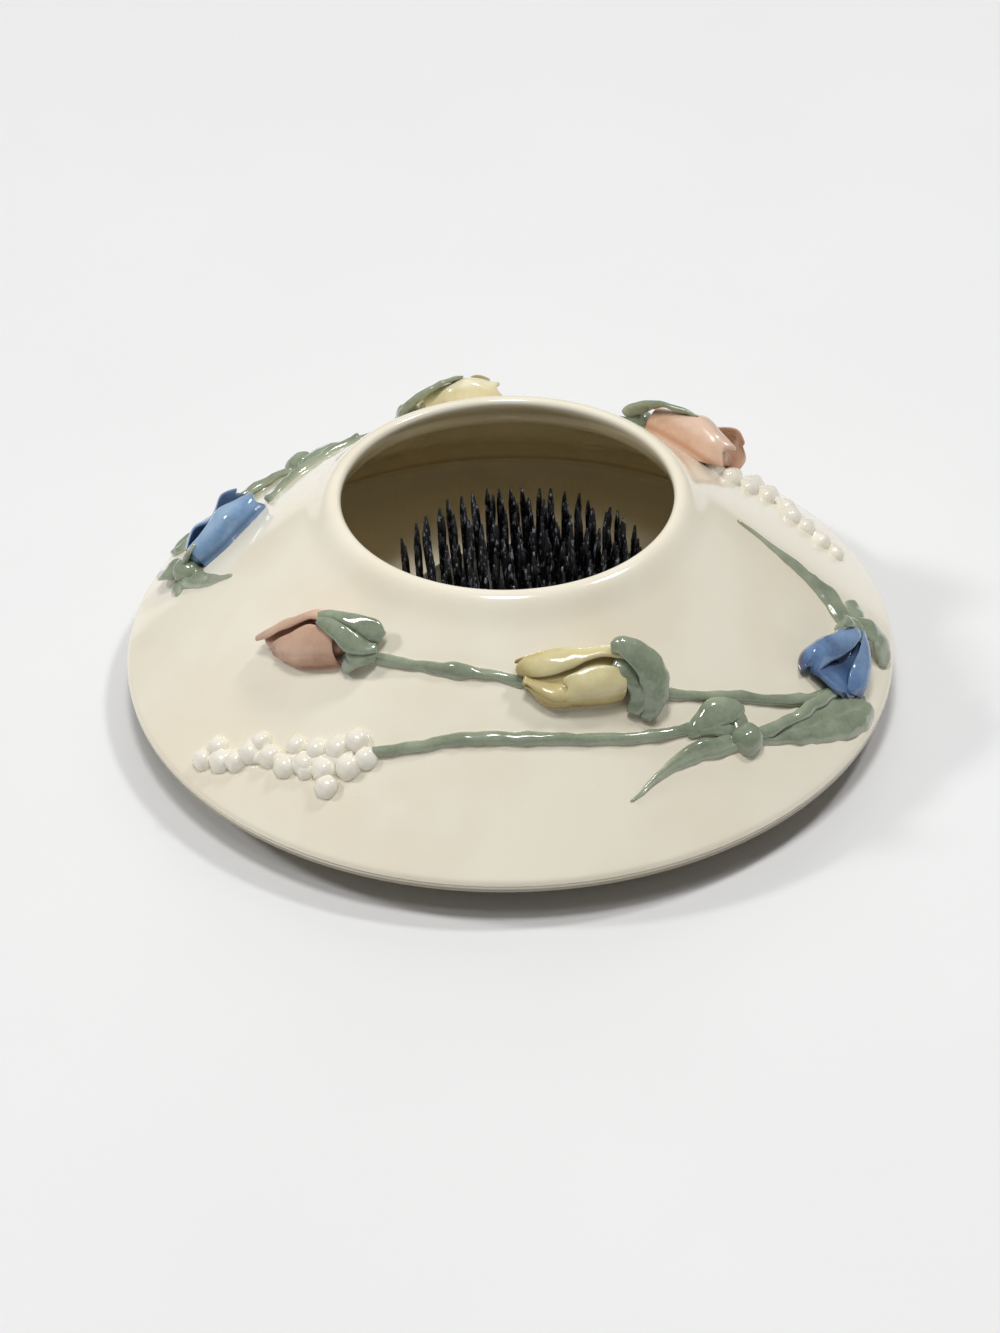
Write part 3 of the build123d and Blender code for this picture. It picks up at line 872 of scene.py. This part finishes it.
@dataclass
class Roll:
    """A rolled or flattened strip of clay along a path."""

    points: list[Vector]
    normals: list[Vector]
    half_widths: list[float]
    half_heights: list[float]
    crease: float = 0.0
    cup: float = 0.0
    around: int = 14
    per_station: int = 5
    look: float = 0.02
    crease_width: float = 0.22
    end_reach: float = 0.35

    def add(self, mesh: bmesh.types.BMesh) -> None:
        """Add the strip to a mesh.

        Args:
            mesh: The mesh in millimetres.
        """
        steps = (len(self.points) - 1) * self.per_station
        sizes = [Vector((w, h, 0)) for w, h in zip(self.half_widths, self.half_heights)]
        grid = bmesh.ops.create_grid(mesh, x_segments=steps + 2, y_segments=self.around, size=1.0)
        made = grid["verts"]
        span = len(self.points) - 1
        for vert in made:
            row = round((vert.co.x + 1) / 2 * (steps + 2)) - 1
            turn = (vert.co.y + 1) * math.pi
            end = row < 0 or row > steps
            place = span * min(max(row, 0), steps) / steps
            middle = curve_point(self.points, place)
            ahead = curve_point(self.points, min(place + self.look, span))
            behind = curve_point(self.points, max(place - self.look, 0))
            along = (ahead - behind).normalized()
            normal = curve_point(self.normals, place).normalized()
            across = normal.cross(along).normalized()
            rise = along.cross(across)
            width, height, _ = curve_point(sizes, place)
            if end:
                vert.co = middle + along * (self.end_reach * min(width, height) * (1 if row > 0 else -1))
                continue
            side, up = math.cos(turn), math.sin(turn)
            fold = -self.crease * math.exp(-((side / self.crease_width) ** 2)) if up > 0 else 0.0
            lift = height * up * (1 + fold) + self.cup * height * side * side
            vert.co = middle + across * (width * side) + rise * lift


@dataclass
class Bud:
    """Flower of folded petals lying on the cone."""

    share: float
    azimuth: float
    turn: float
    length: float
    radius: float
    form: str
    wall: float = 1.15
    ripple: float = 0.05

    def frame(self) -> tuple[Vector, Vector, Vector, Vector]:
        """Axes of the bud.

        Returns:
            Its base on the cone, its axis, the direction across it and the one out of the cone.
        """
        point, around, down, normal = CONE.spot(self.share, self.azimuth)
        angle = math.radians(self.turn)
        axis = around * math.cos(angle) + down * math.sin(angle)
        return point, axis, normal.cross(axis), normal

    def spot(self, along: float, across: float, up: float) -> Vector:
        """Point in the bud's own directions.

        Args:
            along: Share of its length.
            across: Share of its radius.
            up: Share of its radius above the cone.

        Returns:
            The point in millimetres.
        """
        point, axis, side, normal = self.frame()
        sideways = side * (across * self.radius)
        return point + axis * (along * self.length) + sideways + normal * (up * self.radius)

    def petal(self, mesh: bmesh.types.BMesh, stations: tuple, seed: int) -> None:
        """Add one petal: a sheet whose sections run from a root on the cone past a bend to a lip.

        Args:
            mesh: The mesh in millimetres.
            stations: Share of the length, then across and up of root, bend and lip of each section.
            seed: Number that makes its ripples its own.
        """
        places = [Vector((row[0], 0, 0)) for row in stations]
        corners = [[Vector((row[k], row[k + 1], 0)) for row in stations] for k in (1, 3, 5)]
        sheet = bmesh.new()
        bmesh.ops.create_grid(sheet, x_segments=20, y_segments=12, size=1.0)
        for vert in sheet.verts:
            t, s = (vert.co.x + 1) / 2, (vert.co.y + 1) / 2
            place = t * (len(stations) - 1)
            root, bend, lip = (curve_point(row, place) for row in corners)
            section = root * (1 - s) ** 2 + bend * (2 * s * (1 - s)) + lip * s ** 2
            frill = self.ripple * 0.8 * t ** 6 * math.sin(6.5 * s + 2.1 * seed)
            along = curve_point(places, place).x + frill
            wave = self.ripple * s ** 2 * math.sin(9.0 * t + 1.7 * seed)
            vert.co = self.spot(along, section.x, section.y + wave)
        middle = self.spot(0.45, (corners[0][1].x + corners[2][1].x) / 2, 0.1)
        facing = sum((f.normal.dot(f.calc_center_median() - middle) for f in sheet.faces), 0.0)
        if facing < 0:
            bmesh.ops.reverse_faces(sheet, faces=sheet.faces)
        bmesh.ops.solidify(sheet, geom=sheet.faces, thickness=self.wall)
        data = bpy.data.meshes.new("petal_sheet")
        sheet.to_mesh(data)
        sheet.free()
        mesh.from_mesh(data)
        bpy.data.meshes.remove(data)

    def mesh(self) -> bmesh.types.BMesh:
        """Whole bud.

        Returns:
            The mesh in millimetres.
        """
        made = bmesh.new()
        heart = HEARTS[self.form]
        points = [self.spot(along, across, up) for along, across, up, _, _ in heart]
        normals = [self.frame()[3]] * len(points)
        widths = [self.radius * row[3] for row in heart]
        heights = [self.radius * row[4] for row in heart]
        Roll(points, normals, widths, heights).add(made)
        for seed, stations in enumerate(PETALS[self.form]):
            self.petal(made, stations, seed)
        return made


@dataclass
class Spray:
    """One spray of applied flowers."""

    prefix: str
    turn: float
    left_stem: Stations
    right_stem: Stations
    blossom_stem: Stations
    long_leaf: Stations
    lobe: Stations
    buds: dict[str, tuple]
    beads: tuple[tuple[float, float, float], ...]
    stalk: Stations
    stem_radius: float = 1.35
    stem_raise: float = 0.3
    leaf_half_width: float = 4.6
    leaf_half_height: float = 1.9
    sepal_half_width: float = 2.9
    sepal_half_height: float = 1.05
    knob_radius: float = 3.1
    knob_spot: tuple[float, float, float] = (-0.22, 0, 0.28)
    knot_radius: float = 4.1
    knot_spot: tuple[float, float] = (0.705, -47.0)
    bud_length: float = 22.0
    bud_radius: float = 6.4
    bead_radius: float = 2.9
    bead_raise: float = -0.1
    bead_shift: float = 0.024
    bead_wobble: float = 0.06
    dent_size: float = 3.4

    def roll(
        self, stations: Stations, half_width: float, half_height: float, raised: float = 0.0, **shape
    ) -> Roll:
        """Strip laid on the cone.

        Args:
            stations: Cone share, azimuth, raise as a share of the bud's radius, and width share.
            half_width: Full half width.
            half_height: Full half height.
            raised: Height of its middle over the cone.
            shape: Further fields of the roll.

        Returns:
            The strip.
        """
        points, normals, widths, heights = [], [], [], []
        for share, azimuth, lift, width in stations:
            point, _, _, normal = CONE.spot(share, azimuth)
            points.append(point + normal * (raised + lift * self.bud_radius))
            normals.append(normal)
            widths.append(max(half_width * width, 0.3))
            heights.append(thinned(half_height, width, 0.27))
        return Roll(points, normals, widths, heights, **shape)

    def calyx(self, bud: Bud, sepals: Iterable[Stations]) -> bmesh.types.BMesh:
        """Knob and sepals at a bud's base.

        Args:
            bud: The bud.
            sepals: Stations of each sepal in the bud's own directions.

        Returns:
            The mesh in millimetres.
        """
        normal = bud.frame()[3]
        mesh = bmesh.new()
        add_ball(mesh, self.knob_radius, (20, 12), (1.12, 1.0, 0.86), bud.spot(*self.knob_spot))
        for strip in sepals:
            points = [bud.spot(along, across, up) for along, across, up, _ in strip]
            widths = [self.sepal_half_width * w for *_, w in strip]
            heights = [thinned(self.sepal_half_height, w, 0.3) for *_, w in strip]
            Roll(points, [normal] * len(points), widths, heights, crease=0.35).add(mesh)
        return mesh

    def blossom_mesh(self) -> bmesh.types.BMesh:
        """Cluster of florets on its stalk.

        Returns:
            The mesh in millimetres.
        """
        mesh = bmesh.new()
        for index, (share, azimuth, size) in enumerate(self.beads):
            point, _, _, normal = CONE.spot(share - self.bead_shift, azimuth)
            radius = self.bead_radius * size
            made = bmesh.ops.create_icosphere(mesh, subdivisions=3, radius=radius)["verts"]
            for vert in made:
                wobble = math.sin(vert.co.x * 1.9 + index) * math.cos(vert.co.y * 1.7 - index)
                vert.co *= 1 + wobble * self.bead_wobble
            bmesh.ops.translate(mesh, vec=point + normal * self.bead_raise, verts=made)
        self.roll(self.stalk, self.stem_radius, self.stem_radius, self.stem_raise).add(mesh)
        return mesh

    def place(
        self, mesh: bmesh.types.BMesh, name: str, glazes: dict[Clay, bpy.types.Material], slot: Clay,
        smooth: int = 0,
    ) -> None:
        """Turn a mesh to the spray's side of the bowl and finish it.

        Args:
            mesh: The mesh in millimetres.
            name: The CAD node's name without the spray's prefix.
            glazes: Materials by slot.
            slot: The record's slot.
            smooth: Levels of subdivision.
        """
        knead(mesh, self.dent_size, KNEADING[slot], len(name) + len(self.prefix))
        turn = Matrix.Rotation(math.radians(self.turn), 3, "Z")
        bmesh.ops.rotate(mesh, cent=(0, 0, 0), matrix=turn, verts=mesh.verts)
        node = f"{self.prefix}_{name}"
        finished(mesh, f"{node}_clay", Body.VESSEL, node, glazes[slot], smooth)

    def build(self, glazes: dict[Clay, bpy.types.Material]) -> None:
        """Make every piece of the spray.

        Args:
            glazes: Materials by slot.
        """
        colours = {"pink": Clay.PINK, "yellow": Clay.YELLOW, "blue": Clay.BLUE}
        for name, (share, azimuth, turn, length, width, form, sepals) in self.buds.items():
            bud = Bud(share, azimuth, turn, self.bud_length * length, self.bud_radius * width, form)
            self.place(bud.mesh(), f"{name}_bud", glazes, colours[name], 1)
            self.place(self.calyx(bud, SEPALS[sepals]), f"{name}_calyx", glazes, Clay.SAGE)
        stem = (self.stem_radius, self.stem_radius, self.stem_raise)
        for name in ("left_stem", "right_stem", "blossom_stem"):
            mesh = bmesh.new()
            self.roll(getattr(self, name), *stem).add(mesh)
            self.place(mesh, name, glazes, Clay.SAGE)
        leaf = (self.leaf_half_width, self.leaf_half_height)
        leaves = {
            "twist_leaf": ((TWIST_LEAF, 0.0), (TWIST_NECK, 0.0)),
            "down_leaf": ((DOWN_LEAF, 0.45),),
            "low_leaf": ((LOW_LEAF, 0.60), (LOW_FOLD, 0.0)),
            "long_leaf": ((self.long_leaf, 0.35), (self.lobe, 0.0)),
        }
        for name, strips in leaves.items():
            mesh = bmesh.new()
            for stations, crease in strips:
                self.roll(stations, *leaf, crease=crease, around=20).add(mesh)
            self.place(mesh, name, glazes, Clay.SAGE)
        mesh = bmesh.new()
        point, _, _, normal = CONE.spot(*self.knot_spot)
        add_ball(mesh, self.knot_radius, (24, 14), (1.0, 0.94, 0.9), point + normal * self.stem_raise)
        self.place(mesh, "leaf_knot", glazes, Clay.SAGE)
        self.place(self.blossom_mesh(), "blossoms", glazes, Clay.WHITE)


def flat(*rows: tuple[float, float, float]) -> Stations:
    """Stations that lie on the cone: cone share, azimuth and width share of each."""
    return tuple((share, azimuth, 0, width) for share, azimuth, width in rows)


TWIST_LEAF: Stations = (
    (0.6, -56.5, 0, 0.2), (0.578, -53, 0.1, 0.6), (0.568, -49.5, 0.16, 0.8),
    (0.585, -46.3, 0.14, 0.66), (0.606, -44.2, 0.06, 0.26),
)
DOWN_LEAF: Stations = (
    (0.706, -47.2, 0, 0.36), (0.692, -50, 0.06, 0.46), (0.67, -53.8, 0.05, 0.54),
    (0.662, -58, 0, 0.5), (0.682, -62.8, 0, 0.34), (0.716, -67, 0, 0.2), (0.754, -71, 0, 0.05),
)
TWIST_NECK: Stations = (
    (0.596, -46, 0.06, 0.44), (0.64, -46.2, 0.1, 0.46), (0.676, -46.8, 0.06, 0.5),
)
LOW_FOLD: Stations = (
    (0.706, -46.5, 0.1, 0.34), (0.728, -41, 0.18, 0.3), (0.752, -35, 0.24, 0.3),
    (0.776, -29, 0.26, 0.32), (0.8, -24, 0.18, 0.34), (0.812, -21, 0.04, 0.24),
)
LOW_LEAF: Stations = flat(
    (0.715, -45.5, 0.34), (0.75, -41.5, 0.5), (0.795, -36.5, 0.78), (0.838, -31.5, 1.08),
    (0.878, -27, 1.22), (0.912, -23.4, 1.12), (0.934, -21, 0.62),
)
PETALS: dict[str, tuple] = {
    "pink": (
        (
            (0, 0.22, -0.2, 0.5, 1.14, -0.6, 1.04), (0.25, 0.28, -0.2, 0.6, 1.24, -0.86, 1.2),
            (0.5, 0.25, -0.2, 0.52, 1, -0.66, 1.02), (0.66, 0.06, -0.05, 0.22, 0.68, -0.5, 0.76),
            (0.77, -0.14, 0.2, -0.12, 0.48, -0.4, 0.52),
        ),
        (
            (-0.02, -1.12, -0.2, -1.54, 1.1, -0.76, 1.1),
            (0.25, -1.34, -0.2, -1.74, 1.16, -1.06, 1.3),
            (0.55, -1.28, -0.2, -1.5, 0.94, -0.84, 1.02),
            (0.82, -1.1, -0.1, -1.24, 0.6, -0.68, 0.58), (1, -0.84, 0.04, -0.92, 0.24, -0.68, 0.27),
        ),
    ),
    "yellow": (
        (
            (-0.02, 0.36, -0.2, 0.74, 1.22, -0.44, 1.12), (0.2, 0.42, -0.2, 0.84, 1.36, -0.56, 1.2),
            (0.4, 0.42, -0.2, 0.82, 1.28, -0.52, 1.08), (0.54, 0.38, -0.1, 0.74, 1.02, -0.4, 0.98),
            (0.61, 0.3, 0.06, 0.54, 0.7, -0.28, 0.8),
        ),
        (
            (-0.04, -1.06, -0.2, -1.42, 1.2, -0.76, 1.24),
            (0.25, -1.22, -0.2, -1.56, 1.22, -0.9, 1.26),
            (0.55, -1.32, -0.2, -1.7, 1.06, -0.6, 0.96),
            (0.84, -1.36, -0.15, -1.62, 0.82, -0.5, 0.5),
            (1, -1.22, -0.02, -1.34, 0.42, -0.8, 0.26),
        ),
        (
            (0.3, 0.22, -0.2, 0.5, 0.85, -0.4, 0.7), (0.6, 0.4, -0.2, 0.78, 0.99, -0.34, 0.46),
            (0.8, 0.18, -0.15, 0.6, 0.9, -0.52, 0.3),
            (0.96, -0.34, -0.02, -0.06, 0.58, -0.86, 0.24),
        ),
    ),
    "blue": (
        (
            (-0.1, -0.44, -0.2, -0.57, 1.12, 0.22, 0.92),
            (0.15, -0.94, -0.2, -1.23, 1.07, 0.04, 1.02),
            (0.4, -1.5, -0.2, -1.77, 1.11, -0.32, 0.78),
            (0.62, -1.76, -0.2, -1.98, 1.03, -0.84, 0.46),
            (0.8, -1.6, -0.1, -1.72, 0.51, -1.12, 0.2),
        ),
        (
            (-0.12, 0.6, -0.2, 0.8, 1.06, 0.12, 0.96), (0.15, 0.96, -0.2, 1.19, 1.21, 0.18, 1.06),
            (0.38, 1.1, -0.2, 1.44, 1.26, 0.1, 0.88), (0.58, 1.1, -0.2, 1.42, 1.01, 0.14, 0.58),
            (0.7, 0.9, -0.1, 1.1, 0.6, 0.34, 0.34),
        ),
        (
            (0.24, -0.9, -0.12, 0, 0.51, 0.9, -0.1), (0.6, -1.3, -0.06, -0.05, 0.38, 1, -0.06),
            (0.84, -1.3, 0.1, -0.28, 0.39, 0.46, 0.08),
        ),
    ),
    "ruffled": (
        (
            (0, 0.7, -0.2, 0.95, 1.06, 0.12, 0.96), (0.25, 1.05, -0.2, 1.42, 1.34, 0.2, 1.36),
            (0.5, 1, -0.2, 1.31, 1.15, 0.3, 1.1), (0.78, 1.1, -0.2, 1.56, 1.19, 0.5, 1.42),
            (1, 0.74, 0.02, 1.04, 0.97, 0.45, 1.08),
        ),
        (
            (-0.03, -0.7, -0.2, -0.94, 1.09, -0.14, 0.98),
            (0.3, -1.1, -0.2, -1.51, 1.21, -0.36, 1.22),
            (0.55, -1.05, -0.2, -1.57, 1.33, -0.3, 1.38),
            (0.82, -1.05, -0.2, -1.38, 1.11, -0.35, 1.02),
            (1.02, -0.8, -0.02, -1.11, 0.78, -0.34, 0.78),
        ),
    ),
}
HEARTS: dict[str, tuple] = {
    "pink": (
        (-0.06, -0.46, 0.44, 0.42, 0.34), (0.22, -0.54, 0.34, 0.84, 0.5),
        (0.6, -0.56, 0.22, 0.72, 0.34), (0.92, -0.8, 0.08, 0.28, 0.14),
    ),
    "yellow": (
        (-0.08, -0.36, 0.46, 0.5, 0.36), (0.22, -0.42, 0.36, 0.88, 0.54),
        (0.62, -0.48, 0.22, 0.92, 0.36), (0.9, -0.76, 0.08, 0.62, 0.18),
    ),
    "blue": (
        (-0.16, 0.1, 0.44, 0.36, 0.32), (0.16, 0.02, 0.26, 0.96, 0.44),
        (0.44, -0.12, 0.06, 1.24, 0.24),
    ),
    "ruffled": (
        (-0.08, 0, 0.44, 0.5, 0.34), (0.25, 0, 0.36, 1.04, 0.56), (0.62, 0, 0.26, 1.02, 0.44),
        (0.92, 0, 0.16, 0.74, 0.3),
    ),
}
SEPALS: dict[str, tuple[Stations, ...]] = {
    "pink": (
        (
            (-0.44, -0.56, 0.24, 0.62), (-0.37, -0.74, 0.56, 0.78), (-0.17, -0.98, 0.94, 0.62),
            (0.03, -1.12, 1.2, 0.46), (0.16, -1.1, 1.3, 0.22),
        ),
        (
            (-0.4, -0.18, 0.36, 0.5), (-0.28, -0.1, 0.72, 0.7), (-0.12, -0.38, 1.06, 0.78),
            (0.03, -0.7, 1.24, 0.56), (0.15, -0.92, 1.36, 0.26),
        ),
        (
            (-0.4, 0.05, 0.28, 0.6), (-0.26, 0.14, 0.46, 1), (-0.12, 0.34, 0.42, 0.9),
            (-0.04, 0.6, 0.16, 0.4),
        ),
    ),
    "yellow": (
        (
            (0.13, -1.04, 1.4, 0.4), (0.02, -1.06, 1.52, 0.9), (-0.14, -0.74, 1.44, 1.15),
            (-0.28, -0.2, 1.14, 1.2), (-0.33, 0.4, 0.8, 1.15), (-0.3, 0.9, 0.44, 0.95),
            (-0.24, 1.26, 0.12, 0.45),
        ),
        (
            (0.08, -0.66, 1.02, 0.5), (-0.05, -0.36, 1.06, 0.9), (-0.14, 0.1, 0.84, 0.95),
            (-0.16, 0.6, 0.54, 0.8), (-0.12, 1.02, 0.2, 0.5),
        ),
    ),
    "low": (
        (
            (-0.34, -0.4, 0.34, 0.6), (-0.14, -0.9, 0.78, 0.8), (0.12, -1.12, 1.12, 0.72),
            (0.36, -1, 1.26, 0.5), (0.54, -0.84, 1.28, 0.2),
        ),
        (
            (-0.32, 0.34, 0.3, 0.6), (-0.14, 0.8, 0.5, 0.8), (0.05, 1.18, 0.4, 0.6),
            (0.2, 1.4, 0.14, 0.2),
        ),
    ),
    "blue": (
        (
            (-0.16, -0.1, 0.62, 0.5), (-0.08, -0.44, 0.94, 0.55), (0.06, -0.62, 1.08, 0.2),
        ),
        (
            (-0.22, 0.16, 0.42, 0.8), (-0.31, 0.62, 0.6, 1.15), (-0.32, 1.2, 0.58, 1.3),
            (-0.25, 1.74, 0.34, 1.1), (-0.16, 2.02, 0.1, 0.5),
        ),
    ),
}
FRONT = Spray(
    prefix="front",
    turn=0,
    left_stem=flat(
        (0.27, -125, 1), (0.25, -117.5, 1), (0.242, -110, 0.95), (0.238, -104, 1.35),
        (0.24, -98.5, 0.95), (0.252, -92.5, 0.9), (0.272, -87, 1),
    ),
    right_stem=flat(
        (0.37, -64.5, 1), (0.424, -57.5, 1), (0.484, -50.5, 0.9), (0.548, -44.2, 1),
        (0.644, -37.3, 1.1), (0.732, -31, 1.15), (0.778, -26.5, 1),
    ),
    blossom_stem=flat(
        (0.6, -117, 1), (0.534, -108.2, 1), (0.487, -100.1, 1.05), (0.477, -91.6, 1.1),
        (0.492, -80.3, 1.1), (0.53, -69.4, 1.05), (0.559, -60.8, 1.1), (0.592, -54, 1.2),
        (0.65, -48.8, 1.1),
    ),
    long_leaf=flat(
        (0.778, -8, 0.62), (0.735, -5.8, 0.84), (0.682, -3.7, 0.78), (0.582, -1.5, 0.55),
        (0.42, 0.8, 0.32), (0.226, 3, 0.07),
    ),
    lobe=(
        (0.76, -9.6, 0.04, 0.34), (0.782, -6.4, 0.1, 0.52), (0.796, -3.2, 0.1, 0.56),
        (0.792, -0.6, 0.04, 0.46), (0.784, 0.6, 0, 0.2),
    ),
    buds={
        "pink": (0.3, -130.5, 156, 1, 1, "pink", "pink"),
        "yellow": (0.345, -66.8, -169, 1, 1, "yellow", "yellow"),
        "blue": (0.755, -13.6, 176, 0.96, 0.93, "blue", "blue"),
    },
    beads=(
        (0.918, -144.6, 0.95), (0.884, -141.6, 1), (0.85, -143.9, 0.9), (0.85, -139, 0.95),
        (0.795, -137.6, 1), (0.77, -133.9, 0.95), (0.74, -136.9, 0.85), (0.775, -130.2, 0.95),
        (0.735, -127.2, 1), (0.69, -130.2, 0.85), (0.672, -126.2, 0.95), (0.64, -122.6, 1.05),
        (0.728, -123.2, 1.05), (0.752, -126.4, 0.8), (0.78, -121.6, 1), (0.69, -119.2, 1.05),
        (0.64, -116.6, 0.95), (0.59, -119.6, 1),
    ),
    stalk=flat(
        (0.88, -142.6, 0.8), (0.81, -139, 0.9), (0.735, -131.5, 1.1), (0.69, -125.5, 1.2),
        (0.63, -119, 1.3),
    ),
)
BACK = Spray(
    prefix="back",
    turn=178,
    left_stem=flat(
        (0.262, -129, 1), (0.248, -118, 1), (0.228, -106, 0.95), (0.212, -97, 1.25),
        (0.2, -90, 0.95), (0.19, -83, 0.95),
    ),
    right_stem=flat(
        (0.365, -52, 1), (0.378, -46, 0.95), (0.382, -38, 0.95), (0.386, -30, 1.1), (0.398, -22, 1),
    ),
    blossom_stem=flat(
        (0.35, -144, 1), (0.44, -135, 1), (0.476, -122, 1), (0.48, -105, 1.1), (0.482, -86, 1),
        (0.5, -68, 1.1), (0.53, -56, 1.1), (0.59, -50.5, 1.1), (0.65, -48, 1.1),
    ),
    long_leaf=flat(
        (0.745, -10.5, 0.56), (0.7, -6.5, 0.74), (0.63, -2.5, 0.54), (0.545, 1, 0.3),
        (0.455, 4, 0.06),
    ),
    lobe=(
        (0.725, -11.5, 0.04, 0.34), (0.742, -8, 0.08, 0.46), (0.752, -5, 0.06, 0.44),
        (0.745, -3, 0, 0.2),
    ),
    buds={
        "pink": (0.276, -127.5, 176, 0.98, 1, "ruffled", "low"),
        "yellow": (0.262, -67.8, -174, 0.82, 0.86, "ruffled", "low"),
        "blue": (0.655, -9.4, -134, 0.86, 0.82, "ruffled", "blue"),
    },
    beads=(
        (0.33, -147, 0.9), (0.395, -149.3, 0.95), (0.455, -146.6, 0.95), (0.48, -150.6, 0.85),
        (0.53, -148, 0.95), (0.59, -145.8, 1), (0.6, -150, 0.9), (0.65, -143.6, 0.95),
        (0.66, -147.7, 1), (0.7, -151.4, 0.95), (0.67, -155.4, 0.95), (0.725, -157.6, 0.9),
        (0.77, -160.8, 0.9), (0.83, -162.6, 0.8),
    ),
    stalk=flat(
        (0.34, -147.5, 1.2), (0.48, -148.6, 1.4), (0.62, -147.4, 1.6), (0.69, -153.5, 1.5),
        (0.75, -159, 1.3), (0.825, -162.4, 1),
    ),
)


@dataclass
class Studio:
    """Table, lamps and camera, none of them part of the object."""

    camera_place: tuple[float, float, float] = (-2.45, -760.6, 566.2)
    pitch: float = 0.6372
    roll: float = -0.0195
    focal: float = 4000.0
    picture: tuple[int, int] = (1000, 1333)
    sensor: float = 36.0
    room_colour: tuple[float, float, float] = (0.95, 0.96, 1.0)
    room_strength: float = 0.14

    def table(self) -> None:
        """Lay the pale table top."""
        mesh = bmesh.new()
        bmesh.ops.create_grid(mesh, x_segments=2, y_segments=2, size=3.0)
        data = bpy.data.meshes.new("table_top")
        mesh.to_mesh(data)
        mesh.free()
        piece = bpy.data.objects.new("table_top", data)
        bpy.context.scene.collection.objects.link(piece)
        piece.data.materials.append(TableFinish().material())

    def lamp(
        self, name: str, azimuth: float, elevation: float, distance: float, size: float, share: float,
        glint: bool,
    ) -> None:
        """Hang one soft lamp that looks at the bowl.

        Args:
            name: The lamp's name.
            azimuth: Degrees round the bowl, the front at -90.
            elevation: Degrees above the table.
            distance: Metres from the bowl.
            size: Side of the lamp in metres.
            share: Share of the table's light that it gives.
            glint: Whether it shows in the glaze.
        """
        data = bpy.data.lights.new(name, "AREA")
        data.shape = "DISK"
        data.size = size
        data.energy = share * math.pi ** 2 * distance ** 2 / math.sin(math.radians(elevation))
        lamp = bpy.data.objects.new(name, data)
        a, e = math.radians(azimuth), math.radians(elevation)
        away = Vector((math.cos(a) * math.cos(e), math.sin(a) * math.cos(e), math.sin(e)))
        lamp.location = away * distance + Vector((0, 0, 0.03))
        lamp.rotation_mode = "QUATERNION"
        lamp.rotation_quaternion = (-away).to_track_quat("-Z", "Y")
        lamp.visible_glossy = glint
        bpy.context.scene.collection.objects.link(lamp)

    def light(self) -> None:
        """Hang the lamps and set the surrounding light."""
        for lamp in LAMPS:
            self.lamp(*lamp)
        world = bpy.data.worlds.new("room")
        bpy.context.scene.world = world
        world.use_nodes = True
        inputs = world.node_tree.nodes["Background"].inputs
        inputs["Color"].default_value = (*self.room_colour, 1)
        inputs["Strength"].default_value = self.room_strength

    def camera(self) -> None:
        """Set the camera where the photograph was taken from."""
        data = bpy.data.cameras.new("camera")
        data.sensor_fit = "HORIZONTAL"
        data.sensor_width = self.sensor
        data.lens = self.focal / self.picture[0] * self.sensor
        data.clip_start, data.clip_end = 0.05, 20
        camera = bpy.data.objects.new("camera", data)
        camera.location = Vector(self.camera_place) * MM
        turn = Matrix.Rotation(math.pi / 2 - self.pitch, 4, "X") @ Matrix.Rotation(self.roll, 4, "Z")
        camera.rotation_mode = "QUATERNION"
        camera.rotation_quaternion = turn.to_quaternion()
        bpy.context.scene.collection.objects.link(camera)
        bpy.context.scene.camera = camera

    def build(self) -> None:
        """Set up everything."""
        self.table()
        self.light()
        self.camera()
        bpy.context.scene.view_settings.view_transform = "Standard"


LAMPS = (
    ("overhead_lamp", -94, 80, 1.5, 0.32, 0.355, True),
    ("front_lamp", -108, 64, 1.6, 0.30, 0.075, False),
    ("left_lamp", 174, 38, 1.7, 0.26, 0.18, False),
    ("right_lamp", 22, 62, 1.6, 0.24, 0.24, True),
    ("back_lamp", 84, 34, 1.6, 1.10, 0.10, False),
)
KNEADING = {Clay.PINK: 0.34, Clay.YELLOW: 0.40, Clay.BLUE: 0.30, Clay.SAGE: 0.60, Clay.WHITE: 0.08}
GLAZES = (
    GlazeFinish(
        Clay.PINK, "petal_dusty_pink", (222, 180, 156), (160, 108, 82),
        (238, 206, 178), 0.32, 0.2, 0.35, 6.0
    ),
    GlazeFinish(
        Clay.YELLOW, "petal_pale_butter", (224, 209, 148), (160, 136, 68),
        (244, 236, 194), 0.22, 0.3, 0.3, 7.6
    ),
    GlazeFinish(
        Clay.BLUE, "petal_cornflower", (120, 158, 206), (20, 42, 84),
        (160, 188, 216), 0.14, 0.6, 0.1, 4.8
    ),
    GlazeFinish(
        Clay.SAGE, "leaf_sage", (160, 171, 145), (104, 118, 94), (210, 212, 190), 0.12, 0.9, 0.4
    ),
    GlazeFinish(
        Clay.WHITE, "floret_white", (252, 247, 233), (247, 239, 220), (253, 250, 242), 0.14, 0.6, 0.2
    ),
)
BACK_GLAZES = (
    GlazeFinish(
        Clay.PINK, "petal_pale_peach", (236, 200, 172), (196, 146, 116),
        (242, 220, 200), 0.28, 0.3, 0.4, 3.5
    ),
    GlazeFinish(
        Clay.YELLOW, "petal_cream_yellow", (246, 238, 200), (224, 206, 150),
        (250, 246, 222), 0.2, 0.4, 0.4, 3.5
    ),
    GlazeFinish(
        Clay.BLUE, "petal_light_blue", (140, 176, 212), (66, 102, 150),
        (190, 212, 232), 0.14, 0.6, 0.25, 3.6
    ),
)


def main() -> None:
    noise.seed_set(NOISE_SEED)
    glazes = {finish.slot: finish.material() for finish in GLAZES}
    Vessel().build()
    PinHolder().build()
    thin = {finish.slot: finish.material() for finish in BACK_GLAZES}
    for spray, coats in ((FRONT, glazes), (BACK, glazes | thin)):
        spray.build(coats)
        LOG.info("%s spray done", spray.prefix)
    Studio().build()


if __name__ == "__main__":
    main()
